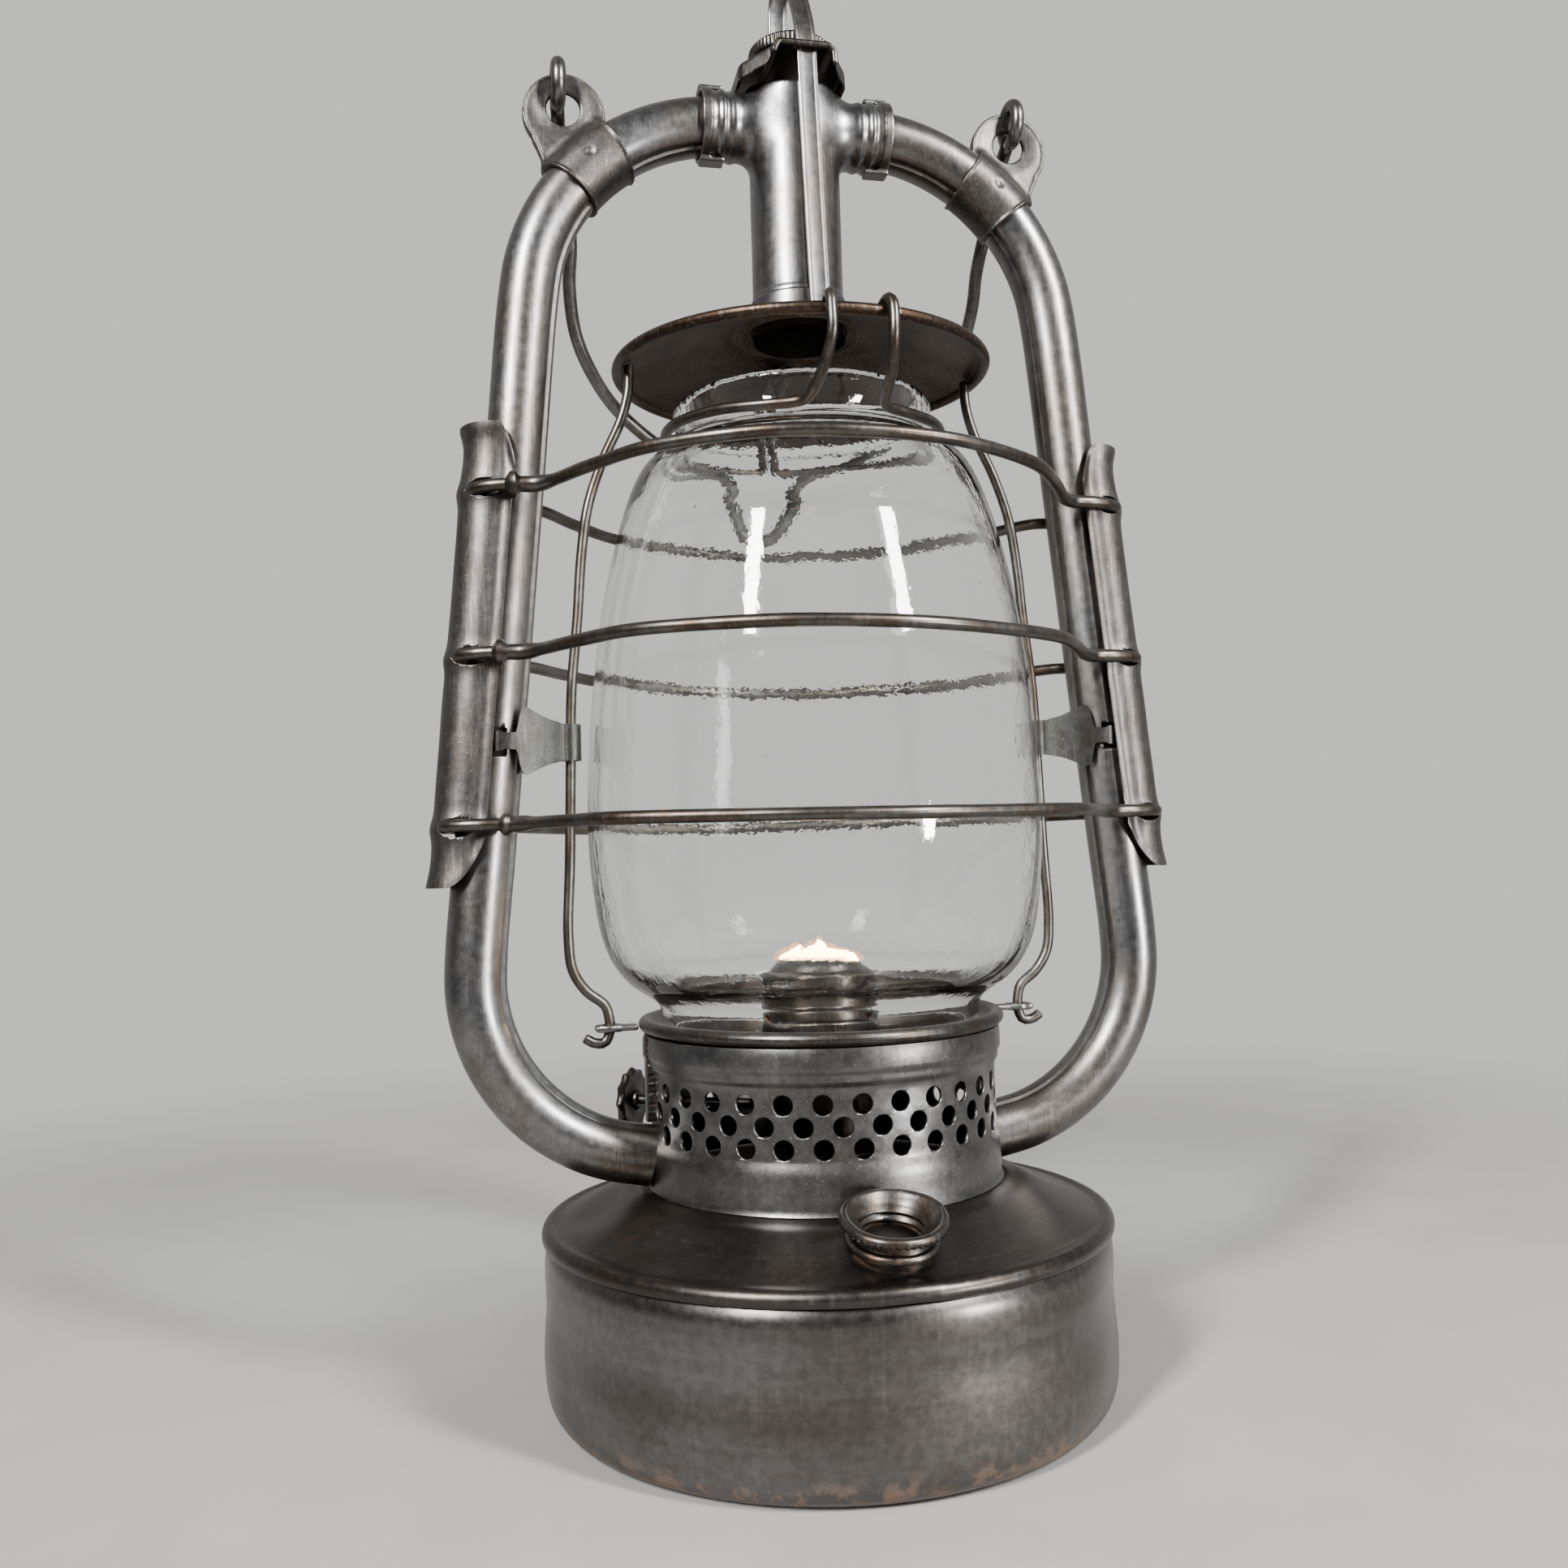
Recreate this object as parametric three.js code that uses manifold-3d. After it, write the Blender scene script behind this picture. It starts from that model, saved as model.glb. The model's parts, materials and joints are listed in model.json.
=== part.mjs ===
// Hanging oil lantern of the tubular kind: a tank with a burner, a glass globe in a wire guard,
// two bent air tubes that meet in a chimney tee, and a wire bail to hang it by.
// Millimetres, +Z up, -Y front. The origin is the centre of the tank's foot.

import * as THREE from 'three';
import { mergeVertices } from 'three/addons/utils/BufferGeometryUtils.js';
import Module from 'manifold-3d';

const wasm = await Module();
wasm.setup();

// ---------------------------------------------------------------- driving dimensions

const GAP = 0.35;                 // clearance between pieces that touch on the real lantern
const SHEET = 0.8;                // thickness of the pressed sheet parts
const SEGMENTS = 24;              // facets round the large turned parts

const TANK_RADIUS = 74.3;
const TANK_SEAM_Z = 42.8;         // top edge of the tank's wall, under the rolled rim
const DECK_Z = 55.2;              // flat centre of the tank's top
const DECK_RADIUS = 51.5;
const COLLAR_HOLE_RADIUS = 19;    // where the burner screws in

const FILLER = { x: 0.5, y: -60, z: 52.1, tilt: 16 * Math.PI / 180, bore: 7.2 };

const BAND_RADIUS = 45.4;         // perforated air band round the burner
const BAND_SKIRT_RADIUS = 46.9;
const BAND_RIM_RADIUS = 47.1;
const BAND_BOTTOM_Z = DECK_Z + GAP;
const BAND_TOP_Z = 94.3;
const VENT_ROWS_Z = [70.6, 75.8, 81.0];
const VENTS_PER_ROW = 30;
const VENT_PHASE = 0.34;          // where the first hole stands, in steps from +X
const VENT_RADIUS = 2.4;

const PLATE_BEAD_RADIUS = 46.4;   // rolled rim that the globe stands in
const PLATE_BEAD_Z = 96.6;
const PLATE_TAB_END_X = 59.5;
const EYE_X = 56;                 // where a side wire hooks into the plate's tab

const GLOBE_WALL = 2;
const GLOBE_BOTTOM_Z = 95.8;
const GLOBE_TOP_Z = 260.9;

const HOOD_RADIUS = 50;
const HOOD_RIM_Z = 271;
const HOOD_CENTRE_Z = 283.2;
const CHIMNEY_RADIUS = 12.4;
const CHIMNEY_BOTTOM_Z = 281.5;
const CHIMNEY_TOP_Z = 355.1;
const ARM_RADIUS = 9;             // the tee's arms, which the side tubes push into
const ARM_END_X = 26.5;
const CAP_Z = 356.5;              // top face of the rain cap

const TUBE_RADIUS = 7.7;          // side air tubes
const TUBE_BORE_RADIUS = 6.9;
const TUBE_AXIS_Z = 339;          // height of the tee's arms
const TUBE_START_X = 16;
const CROWN_BEND_RADIUS = 55;
const FOOT_BEND_RADIUS = 47;
const FOOT_START_Z = 115;
const FOOT_TURN = 77.5 * Math.PI / 180;
const TUBE_FOOT = { x: 45.7, z: 63.4 };
const TUBE_REF = { x: 76.3, z: 254 };
const TUBE_SLOPE = 0.0944;        // sideways spread per millimetre down

const WIRE_HEIGHTS = { top: 235, middle: 192, bottom: 148.9 };
const GUARD_WIRE_RADIUS = 1.6;
const GUARD_FRONT_REACH = 64;
const GUARD_REAR_REACH = 66;

const SHIELD = { bottom: 134, top: 252, inner: 8.4, wall: 0.9, offset: 4.7 };

const EAR = { x: 62.8, z: 338.5, radius: 10.9, hole: 4.8, holeX: 62.9, holeZ: 340, thickness: 2.6 };
const EAR_BAND = { x: 55.8, length: 17.4, wall: 0.8 };

const BAIL_WIRE_RADIUS = 1.9;
const BAIL_PIVOT_Z = 346.75;
const BAIL_EYE_X = 64.2;
const BAIL_EYE_RADIUS = 5.2;
const BAIL_TILT = 31.5 * Math.PI / 180;   // behind the plumb line, lying on the top guard wire
const BAIL_DEPTH = 104;
const BAIL_KINK_DEPTH = 124.6;

const STRIP = { width: 5.3, thickness: 1.8, y: 14.6, slotX: 1.2 };
const SIDE_WIRE_RADIUS = 1.35;
const NECK_WIRE_RADIUS = 1.4;
const NECK_RING = { radius: 37.4, frontZ: 250.9, rearZ: 254.3 };
const NECK_WIRE_TURN = 3.5 * Math.PI / 180;
const NECK_HOOK_ANGLE = 8.5 * Math.PI / 180;
const CLIP_WIRE_X = 64.6;
const CLIP_Z = 170.5;

const BURNER_TURN = -33 * Math.PI / 180;  // the wick's width lies along this direction
const BURNER_RADIUS = 15.2;
const WICK = { width: 18, thickness: 2.6, bottom: 12, top: 107.4 };
const WICK_SHAFT = { z: 72, radius: 1.3, offset: 6, inner: 11.4, knob: 59.5 };
const KNOB_RADIUS = 9;
const SHAFT_SLOT_ANGLE = 140 * Math.PI / 180;

// ---------------------------------------------------------------- colours

function metal(colour, roughness, metalness) {
  return new THREE.MeshStandardMaterial({ color: colour, roughness, metalness });
}

const burnishedSteel = metal(0x6f6f70, 0.38, 1);
const darkSteel = metal(0x47443f, 0.48, 0.95);
const wireSteel = metal(0x5a5856, 0.36, 1);
const rustedSteel = metal(0x5b4334, 0.72, 0.7);
const burnerSteel = metal(0x5e5349, 0.46, 0.9);
const glass = new THREE.MeshStandardMaterial({
  color: 0xe9efee, roughness: 0.04, metalness: 0, transparent: true, opacity: 0.3,
});
const cotton = metal(0xd9cdb4, 0.95, 0);

// ---------------------------------------------------------------- shape helpers

function signedVolume(geometry) {
  const p = geometry.attributes.position;
  const index = geometry.index.array;
  const a = new THREE.Vector3();
  const b = new THREE.Vector3();
  const c = new THREE.Vector3();
  let sum = 0;
  for (let i = 0; i < index.length; i += 3) {
    a.fromBufferAttribute(p, index[i]);
    b.fromBufferAttribute(p, index[i + 1]);
    c.fromBufferAttribute(p, index[i + 2]);
    sum += a.dot(b.cross(c)) / 6;
  }
  return sum;
}

// One welded mesh with its faces pointing out and no collapsed triangles.
function weld(geometry) {
  const bare = geometry.clone();
  bare.deleteAttribute('normal');
  bare.deleteAttribute('uv');
  const merged = mergeVertices(bare, 1e-4);
  const kept = [];
  const index = merged.index.array;
  for (let i = 0; i < index.length; i += 3) {
    const [a, b, c] = [index[i], index[i + 1], index[i + 2]];
    if (a !== b && b !== c && c !== a) {
      kept.push(a, b, c);
    }
  }
  merged.setIndex(kept);
  if (signedVolume(merged) < 0) {
    merged.setIndex(kept.reverse());
  }
  merged.computeVertexNormals();
  return merged;
}

function toSolid(geometry) {
  const welded = weld(geometry);
  return new wasm.Manifold(new wasm.Mesh({
    numProp: 3,
    vertProperties: new Float32Array(welded.attributes.position.array),
    triVerts: new Uint32Array(welded.index.array),
  }));
}

function toGeometry(solid) {
  const mesh = solid.getMesh();
  const geometry = new THREE.BufferGeometry();
  geometry.setAttribute('position', new THREE.BufferAttribute(mesh.vertProperties, 3));
  geometry.setIndex(new THREE.BufferAttribute(mesh.triVerts, 1));
  geometry.computeVertexNormals();
  return geometry;
}

function join(...geometries) {
  return toGeometry(geometries.map(toSolid).reduce((a, b) => a.add(b)));
}

function cut(geometry, ...cutters) {
  return toGeometry(cutters.map(toSolid).reduce((a, b) => a.subtract(b), toSolid(geometry)));
}

function common(a, b) {
  return toGeometry(toSolid(a).intersect(toSolid(b)));
}

// A profile of [radius, height] pairs turned round +Z. It closes on itself, or on the axis.
function revolve(profile, segments) {
  const points = profile.map(([r, z]) => new THREE.Vector2(r, z));
  if (profile[0][0] > 0) {
    points.push(points[0].clone());
  }
  return weld(new THREE.LatheGeometry(points, segments).rotateX(Math.PI / 2));
}

function disc(radius) {
  const shape = new THREE.Shape();
  shape.absarc(0, 0, radius, 0, Math.PI * 2);
  return shape;
}

function rectangle(width, height) {
  const shape = new THREE.Shape();
  shape.moveTo(-width / 2, -height / 2);
  shape.lineTo(width / 2, -height / 2);
  shape.lineTo(width / 2, height / 2);
  shape.lineTo(-width / 2, height / 2);
  shape.closePath();
  return shape;
}

function outline(points) {
  return new THREE.Shape(points.map(([x, y]) => new THREE.Vector2(x, y)));
}

// A flat shape drawn in X and Z, given a thickness along Y about y = 0.
function slabXZ(shape, thickness, sides = 8) {
  const geometry = new THREE.ExtrudeGeometry(shape, {
    depth: thickness, bevelEnabled: false, curveSegments: sides,
  });
  return geometry.translate(0, 0, -thickness / 2).rotateX(Math.PI / 2);
}

// A flat shape drawn in X and Y, standing from z = bottom to z = top.
function pillar(shape, bottom, top, sides = 8) {
  const geometry = new THREE.ExtrudeGeometry(shape, {
    depth: top - bottom, bevelEnabled: false, curveSegments: sides,
  });
  return geometry.translate(0, 0, bottom);
}

function rod(radius, from, to, sides = 8) {
  const a = new THREE.Vector3(...from);
  const b = new THREE.Vector3(...to);
  const geometry = new THREE.CylinderGeometry(radius, radius, a.distanceTo(b), sides);
  const direction = b.clone().sub(a).normalize();
  geometry.applyQuaternion(
    new THREE.Quaternion().setFromUnitVectors(new THREE.Vector3(0, 1, 0), direction));
  return geometry.translate(...a.add(b).multiplyScalar(0.5).toArray());
}

function polygon(radius, sides) {
  const points = [];
  for (let i = 0; i < sides; i++) {
    const angle = 2 * Math.PI * i / sides;
    points.push([radius * Math.cos(angle), radius * Math.sin(angle)]);
  }
  return outline(points);
}

function sweep(section, path, steps, sides = 3) {
  return new THREE.ExtrudeGeometry(section, {
    steps, extrudePath: path, bevelEnabled: false, curveSegments: sides,
  });
}

function curve(points) {
  return new THREE.CatmullRomCurve3(points.map((p) => new THREE.Vector3(...p)));
}

// A round wire through a list of points.
function wire(points, radius, steps) {
  return sweep(polygon(radius, 5), curve(points), steps);
}

function mirrored(geometry) {
  return weld(geometry.clone().scale(-1, 1, 1));
}

const lantern = new THREE.Group();

function place(name, geometry, material) {
  const mesh = new THREE.Mesh(weld(geometry), material);
  mesh.name = name;
  lantern.add(mesh);
  return mesh;
}

// The right-hand piece is drawn and the left-hand one is its mirror image. Both can then be
// turned the same way about +Z.
function placePair(name, geometry, material, turn = 0) {
  place(`${name}_right`, geometry.clone().rotateZ(turn), material);
  place(`${name}_left`, mirrored(geometry).rotateZ(turn), material);
}

// ---------------------------------------------------------------- tank

function tankBody() {
  const R = TANK_RADIUS;
  return revolve([
    [0, 3.2], [60, 3.2], [64.5, 0], [67.5, 0], [71.6, 2.2], [73.8, 7], [R, 15],
    [R - 0.7, 28], [R, 36.5], [R - 1, TANK_SEAM_Z],
    [R - 1 - SHEET, TANK_SEAM_Z], [R - SHEET, 36.5], [R - 0.7 - SHEET, 28], [R - SHEET, 15],
    [72, 5.4], [66.6, 1], [60.3, 4], [0, 4],
  ], SEGMENTS);
}

function fillerAxisPoint(distance) {
  return [
    FILLER.x,
    FILLER.y - distance * Math.sin(FILLER.tilt),
    FILLER.z + distance * Math.cos(FILLER.tilt),
  ];
}

function tankTop() {
  const lip = TANK_SEAM_Z + GAP;
  const sheet = revolve([
    [73.2, lip], [74, 44.4], [73.4, 46.4], [71.6, 46.9], [60, 51.7], [DECK_RADIUS, DECK_Z],
    [COLLAR_HOLE_RADIUS, DECK_Z], [COLLAR_HOLE_RADIUS, DECK_Z - SHEET],
    [DECK_RADIUS - 0.3, DECK_Z - SHEET], [59.7, 50.8], [71.4, 46], [72.5, 45.4], [72.4, lip],
  ], SEGMENTS);
  return cut(sheet, rod(8.4, fillerAxisPoint(-5), fillerAxisPoint(5), 12));
}

// Drawn upright on its own axis, then tipped outwards on the sloping tank top.
function fillerNeck() {
  const bore = FILLER.bore;
  const neck = revolve([
    [bore, -3], [8, -3], [8, 1.6], [9.9, 1.6], [10.4, 2.7], [9.6, 3.9], [8.6, 4.4],
    [8.6, 5.6], [11.2, 7.6], [11.9, 8.6], [11.6, 10.2], [10.6, 10.2], [8.2, 7.4], [bore, 6.4],
  ], 16);
  return neck.rotateX(FILLER.tilt).translate(FILLER.x, FILLER.y, FILLER.z);
}

// ---------------------------------------------------------------- side air tubes

// Points along an arc in the XZ plane that turns clockwise from one angle to another.
function clockwiseArc(centre, radius, fromAngle, turn, steps) {
  const points = [];
  for (let i = 0; i <= steps; i++) {
    const angle = fromAngle - turn * i / steps;
    points.push([centre.x + radius * Math.cos(angle), 0, centre.z + radius * Math.sin(angle)]);
  }
  return points;
}

function tubeX(z) {
  return TUBE_REF.x + (TUBE_REF.z - z) * TUBE_SLOPE;
}

// The centre line of the right-hand tube: level out of the tee, round the crown, down with a
// slight spread, and round the foot bend into the air band.
const SPREAD = Math.atan(TUBE_SLOPE);
const CROWN_END_Z = TUBE_AXIS_Z - CROWN_BEND_RADIUS * (1 - Math.sin(SPREAD));
const CROWN = {
  x: tubeX(CROWN_END_Z) - CROWN_BEND_RADIUS * Math.cos(SPREAD),
  z: TUBE_AXIS_Z - CROWN_BEND_RADIUS,
};
const FOOT = {
  x: tubeX(FOOT_START_Z) - FOOT_BEND_RADIUS * Math.cos(SPREAD),
  z: FOOT_START_Z - FOOT_BEND_RADIUS * Math.sin(SPREAD),
};

function crownArc(fromAngle, turn, steps) {
  return clockwiseArc(CROWN, CROWN_BEND_RADIUS, fromAngle, turn, steps);
}

function alongTube(section) {
  const path = curve([
    [TUBE_START_X, 0, TUBE_AXIS_Z],
    ...crownArc(Math.PI / 2, Math.PI / 2 - SPREAD, 8),
    [tubeX(235), 0, 235], [tubeX(190), 0, 190], [tubeX(145), 0, 145],
    ...clockwiseArc(FOOT, FOOT_BEND_RADIUS, SPREAD, FOOT_TURN, 7),
    [TUBE_FOOT.x, 0, TUBE_FOOT.z],
  ]);
  return sweep(section, path, 26, 4);
}

function airTube() {
  const section = disc(TUBE_RADIUS);
  section.holes.push(new THREE.Path().absarc(0, 0, TUBE_BORE_RADIUS, 0, Math.PI * 2));
  return alongTube(section);
}

// The space a piece leaves for the tube that passes through it.
function roomForTube() {
  return alongTube(disc(TUBE_RADIUS + GAP));
}

// ---------------------------------------------------------------- perforated air band

function radialRod(radius, angle, z, inner, outer, sides) {
  const [c, s] = [Math.cos(angle), Math.sin(angle)];
  return rod(radius, [inner * c, inner * s, z], [outer * c, outer * s, z], sides);
}

function airBand() {
  const [R, K, rim, top] = [BAND_RADIUS, BAND_SKIRT_RADIUS, BAND_RIM_RADIUS, BAND_TOP_Z];
  const wall = revolve([
    [K, BAND_BOTTOM_Z], [K, 66.4], [R, 67.8], [R, 86.8], [rim, 88.6], [rim, top],
    [rim - SHEET, top], [rim - SHEET, 89], [R - SHEET, 87.2], [R - SHEET, 67.3],
    [K - SHEET, 66], [K - SHEET, BAND_BOTTOM_Z],
  ], 30);
  const cutters = [];
  const step = 2 * Math.PI / VENTS_PER_ROW;
  VENT_ROWS_Z.forEach((z, row) => {
    for (let i = 0; i < VENTS_PER_ROW; i++) {
      const angle = (i + VENT_PHASE + (row % 2 ? 0.5 : 0)) * step;
      const besideTube = Math.abs(Math.sin(angle)) < 0.21 && row === 0;
      const besideShaft = Math.abs(angle - SHAFT_SLOT_ANGLE) < 0.13;
      if (!besideTube && !besideShaft) {
        cutters.push(radialRod(VENT_RADIUS, angle, z, R - 3, R + 3, 5));
      }
    }
  });
  for (const side of [-1, 1]) {
    cutters.push(rod(TUBE_RADIUS + GAP, [side * 30, 0, TUBE_FOOT.z - 3.4],
      [side * 58, 0, TUBE_FOOT.z + 2.65], 12));
  }
  for (const rise of [-1, 1.6]) {
    cutters.push(radialRod(2.8, SHAFT_SLOT_ANGLE, WICK_SHAFT.z + rise, R - 5, R + 5, 8));
  }
  return cut(wall, ...cutters);
}

// ---------------------------------------------------------------- burner

function slotRod(width, thickness, bottom, top) {
  return pillar(rectangle(width, thickness), bottom, top);
}

// The burner's pieces are drawn with the wick's width along X, then turned.
function turned(geometry) {
  return geometry.rotateZ(BURNER_TURN);
}

function burnerCollar() {
  const collar = revolve([
    [17.8, 49], [18.6, 49], [18.6, DECK_Z + GAP], [22, DECK_Z + GAP], [22, DECK_Z + 1.2],
    [18.6, DECK_Z + 1.4], [18.6, 63.6], [0, 63.6], [0, 62.8], [17.8, 62.8],
  ], 16);
  return turned(cut(collar, slotRod(WICK.width + 3.4, 5.6, 60, 66)));
}

function burnerBody() {
  const R = BURNER_RADIUS;
  const draft = revolve([
    [R - SHEET, 63.9], [R, 63.9], [R, 104], [R - SHEET, 104],
  ], 16);
  const shaftHole = rod(2, [-R - 3, WICK_SHAFT.offset, WICK_SHAFT.z],
    [-R + 9, WICK_SHAFT.offset, WICK_SHAFT.z], 8);
  const airHoles = [0, 1, 2, 3, 4, 5].map(
    (i) => radialRod(2.6, (i + 0.5) * Math.PI / 3, 84, R - 3, R + 3, 6));
  return turned(cut(draft, shaftHole, ...airHoles));
}

function burnerCone() {
  const R = BURNER_RADIUS;
  const dome = revolve([
    [R, 104.3], [R, 105.2], [13.2, 107.9], [11.6, 110.1], [9, 111.2], [0, 111.6],
    [0, 110.8], [8.8, 110.4], [11, 109.5], [12.6, 107.4], [R - SHEET, 104.8],
    [R - SHEET, 104.3],
  ], 16);
  return turned(cut(dome, slotRod(WICK.width + 1.4, 6, 106, 114)));
}

function wickTube() {
  const section = rectangle(WICK.width + 2.4, 4.8);
  section.holes.push(rectangle(WICK.width + 0.8, 3.4));
  const tube = pillar(section, 44, 104.6);
  const window = slotRod(16, 4, WICK_SHAFT.z - 5.5, WICK_SHAFT.z + 5.5).translate(0, 3.4, 0);
  return turned(cut(tube, window));
}

function wick() {
  return turned(slotRod(WICK.width, WICK.thickness, WICK.bottom, WICK.top));
}

// The shaft carries two spur wheels that grip the wick.
function wickShaft() {
  const { z, radius, offset, inner, knob } = WICK_SHAFT;
  const shaft = rod(radius, [inner, offset, z], [-knob + 1, offset, z], 10);
  const wheels = [-4, 5].map((x) => spurWheel().translate(x, offset, z));
  return turned(join(shaft, ...wheels));
}

function spurWheel() {
  const [teeth, tip, root] = [9, 4.3, 3.2];
  const points = [];
  for (let i = 0; i < 2 * teeth; i++) {
    const radius = i % 2 ? root : tip;
    const angle = Math.PI * i / teeth;
    points.push([radius * Math.cos(angle), radius * Math.sin(angle)]);
  }
  return pillar(outline(points), -0.6, 0.6).rotateY(Math.PI / 2);
}

// A dished wheel with a scalloped edge on the end of the shaft.
function wickKnob() {
  const lobes = 12;
  const points = [];
  for (let i = 0; i < lobes * 4; i++) {
    const angle = 2 * Math.PI * i / (lobes * 4);
    const radius = KNOB_RADIUS - 0.7 + 0.7 * Math.cos(lobes * angle);
    points.push([radius * Math.cos(angle), radius * Math.sin(angle)]);
  }
  const wheel = pillar(outline(points), -0.8, 0.8);
  const hub = rod(2.6, [0, 0, -2.2], [0, 0, 0], 12);
  const bore = rod(WICK_SHAFT.radius + 0.32, [0, 0, -3], [0, 0, 0.2], 10);
  const dish = revolve([[0, 2], [6.4, 2], [6.4, 0.5], [4.4, 0], [0, 0]], 16);
  const knob = cut(join(wheel, hub), bore, dish.translate(0, 0, 0.25));
  return turned(knob.rotateY(-Math.PI / 2)
    .translate(-WICK_SHAFT.knob, WICK_SHAFT.offset, WICK_SHAFT.z));
}

// ---------------------------------------------------------------- globe and its plate

function globePlate() {
  const [R, z] = [PLATE_BEAD_RADIUS, PLATE_BEAD_Z];
  const plate = revolve([
    [R + 1.9, z], [R + 1, z + 1.7], [R - 1, z + 1.7], [R - 1.9, z], [R - 3, z - 1.3],
    [16.4, z - 1.3], [16.4, z - 2.1], [R - 2.6, z - 2.1], [R, z - 1.9], [R + 1.3, z - 1.4],
  ], SEGMENTS);
  const tabs = [-1, 1].map((side) => {
    const tab = pillar(rectangle(13.6, 5), z - 0.6, z + 0.6);
    return tab.translate(side * (PLATE_TAB_END_X - 6.8), 0, 0);
  });
  const eyes = [-1, 1].map((side) => rod(1.9, [side * EYE_X, 0, z - 3], [side * EYE_X, 0, z + 3]));
  const vents = [];
  for (let i = 0; i < 8; i++) {
    const angle = (i + 0.5) * Math.PI / 4;
    const [x, y] = [29 * Math.cos(angle), 29 * Math.sin(angle)];
    vents.push(rod(4, [x, y, z - 4], [x, y, z], 5));
  }
  return cut(join(plate, ...tabs), ...eyes, ...vents);
}

function globe() {
  const outer = [
    [42.2, GLOBE_BOTTOM_Z], [42.2, 102.6], [47.6, 105.4], [54, 112], [58.8, 126],
    [60.5, 146], [59.6, 170], [56.5, 197], [52.3, 220], [46.2, 239.6], [35.5, 249],
    [34.8, GLOBE_TOP_Z],
  ];
  const inner = outer.map(([r, z]) => [r - GLOBE_WALL, z]).reverse();
  return revolve([...outer, ...inner], SEGMENTS);
}

function hood() {
  const [R, z] = [HOOD_RADIUS, HOOD_RIM_Z];
  const shell = revolve([
    [R + 0.4, z - 1.5], [R + 1.4, z], [R + 0.6, z + 1.5], [R - 1.4, z + 1.5],
    [18, 282.3], [CHIMNEY_RADIUS + 0.7, HOOD_CENTRE_Z],
    [CHIMNEY_RADIUS + 0.7, HOOD_CENTRE_Z - SHEET], [17.8, 281.4],
    [R - 1.2, z + 0.6], [R - 0.8, z - 1],
  ], SEGMENTS);
  const notches = [-1, 1].map((side) => {
    const angle = -Math.PI / 2 + NECK_WIRE_TURN + side * NECK_HOOK_ANGLE;
    return radialRod(NECK_WIRE_RADIUS + GAP, angle, z + 1.1, R - 4.5, R + 3, 6);
  });
  return cut(shell, ...notches);
}

function hoodCollar() {
  const inner = CHIMNEY_RADIUS + 0.3;
  const bottom = HOOD_CENTRE_Z + GAP;
  return revolve([
    [inner, bottom], [inner + 0.6, bottom], [inner + 0.6, bottom + 6.4], [inner, bottom + 6.4],
  ], 20);
}

// One flat strip from the hood up through the cap, over in a finger loop and down behind. Its
// front leg leans a little.
function liftStrip() {
  const y = STRIP.y;
  const path = curve([
    [2.7, -y, HOOD_CENTRE_Z + 0.5], [2.1, -y, 305], [1.5, -y, 330], [1, -y, 350],
    [0.8, -y + 0.6, 359], [0.4, -9.4, 370.5], [0, -3, 380.5], [0, 3.6, 387.4],
    [0, 9.6, 388.6], [0, 13.6, 384],
    [0, y, 376], [0, y, 355], [0, y, 330], [0, y, 305], [0, y, HOOD_CENTRE_Z + 0.5],
  ]);
  return sweep(rectangle(STRIP.thickness, STRIP.width), path, 42);
}

// From its notch in the hood's front rim, down to the foot of the globe's neck, half round it
// and up a little, and then up behind to the hood's centre.
function neckWire() {
  const front = -Math.PI / 2;
  const polar = (radius, angle, z) => [radius * Math.cos(angle), radius * Math.sin(angle), z];
  const hook = front + NECK_HOOK_ANGLE;
  const points = [
    polar(47, hook, 272.1), polar(50.6, hook, 272.2), polar(52.9, hook, 270),
    polar(52.8, hook, 263), polar(48.5, hook + 0.03, 256.2), polar(43, hook + 0.07, 252.8),
    polar(38.7, hook + 0.13, 251), polar(NECK_RING.radius + 0.1, hook + 0.22, NECK_RING.frontZ),
  ];
  const rear = Math.PI / 2 - 0.06;
  const ringStart = hook + 0.36;
  for (let i = 0; i <= 7; i++) {
    const angle = ringStart + (rear - ringStart) * i / 7;
    const rise = Math.min(i / 4, 1) * (NECK_RING.rearZ - NECK_RING.frontZ);
    points.push(polar(NECK_RING.radius, angle, NECK_RING.frontZ + rise));
  }
  points.push([1.9, NECK_RING.radius + 0.3, 258.5], [1.9, NECK_RING.radius, 268]);
  points.push([1.9, 33, 273.4], [1.9, 24, 276.4], [1.9, 17, 278.8]);
  return wire(points, NECK_WIRE_RADIUS, 38);
}

function sideWire() {
  return wire([
    [47, 0, 270.6], [47.4, 0, 264], [49.4, 0, 256.4], [54.8, 0, 244.5], [58.6, 0, 233],
    [60.6, 0, 220], [62, 0, 203], [63.9, 0, 184], [64.5, 0, 165], [65.2, 0, 140],
    [66, 0, 120], [65, 0, 111.6], [61.6, 0, 106.2], [57, 0, 102.4], [EYE_X, 0, 99],
    [EYE_X, 0, 95.6], [57.3, 0, 93], [60, 0, 93], [62.4, 0, 94.4],
  ], SIDE_WIRE_RADIUS, 38);
}

// ---------------------------------------------------------------- chimney tee and cap

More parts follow.
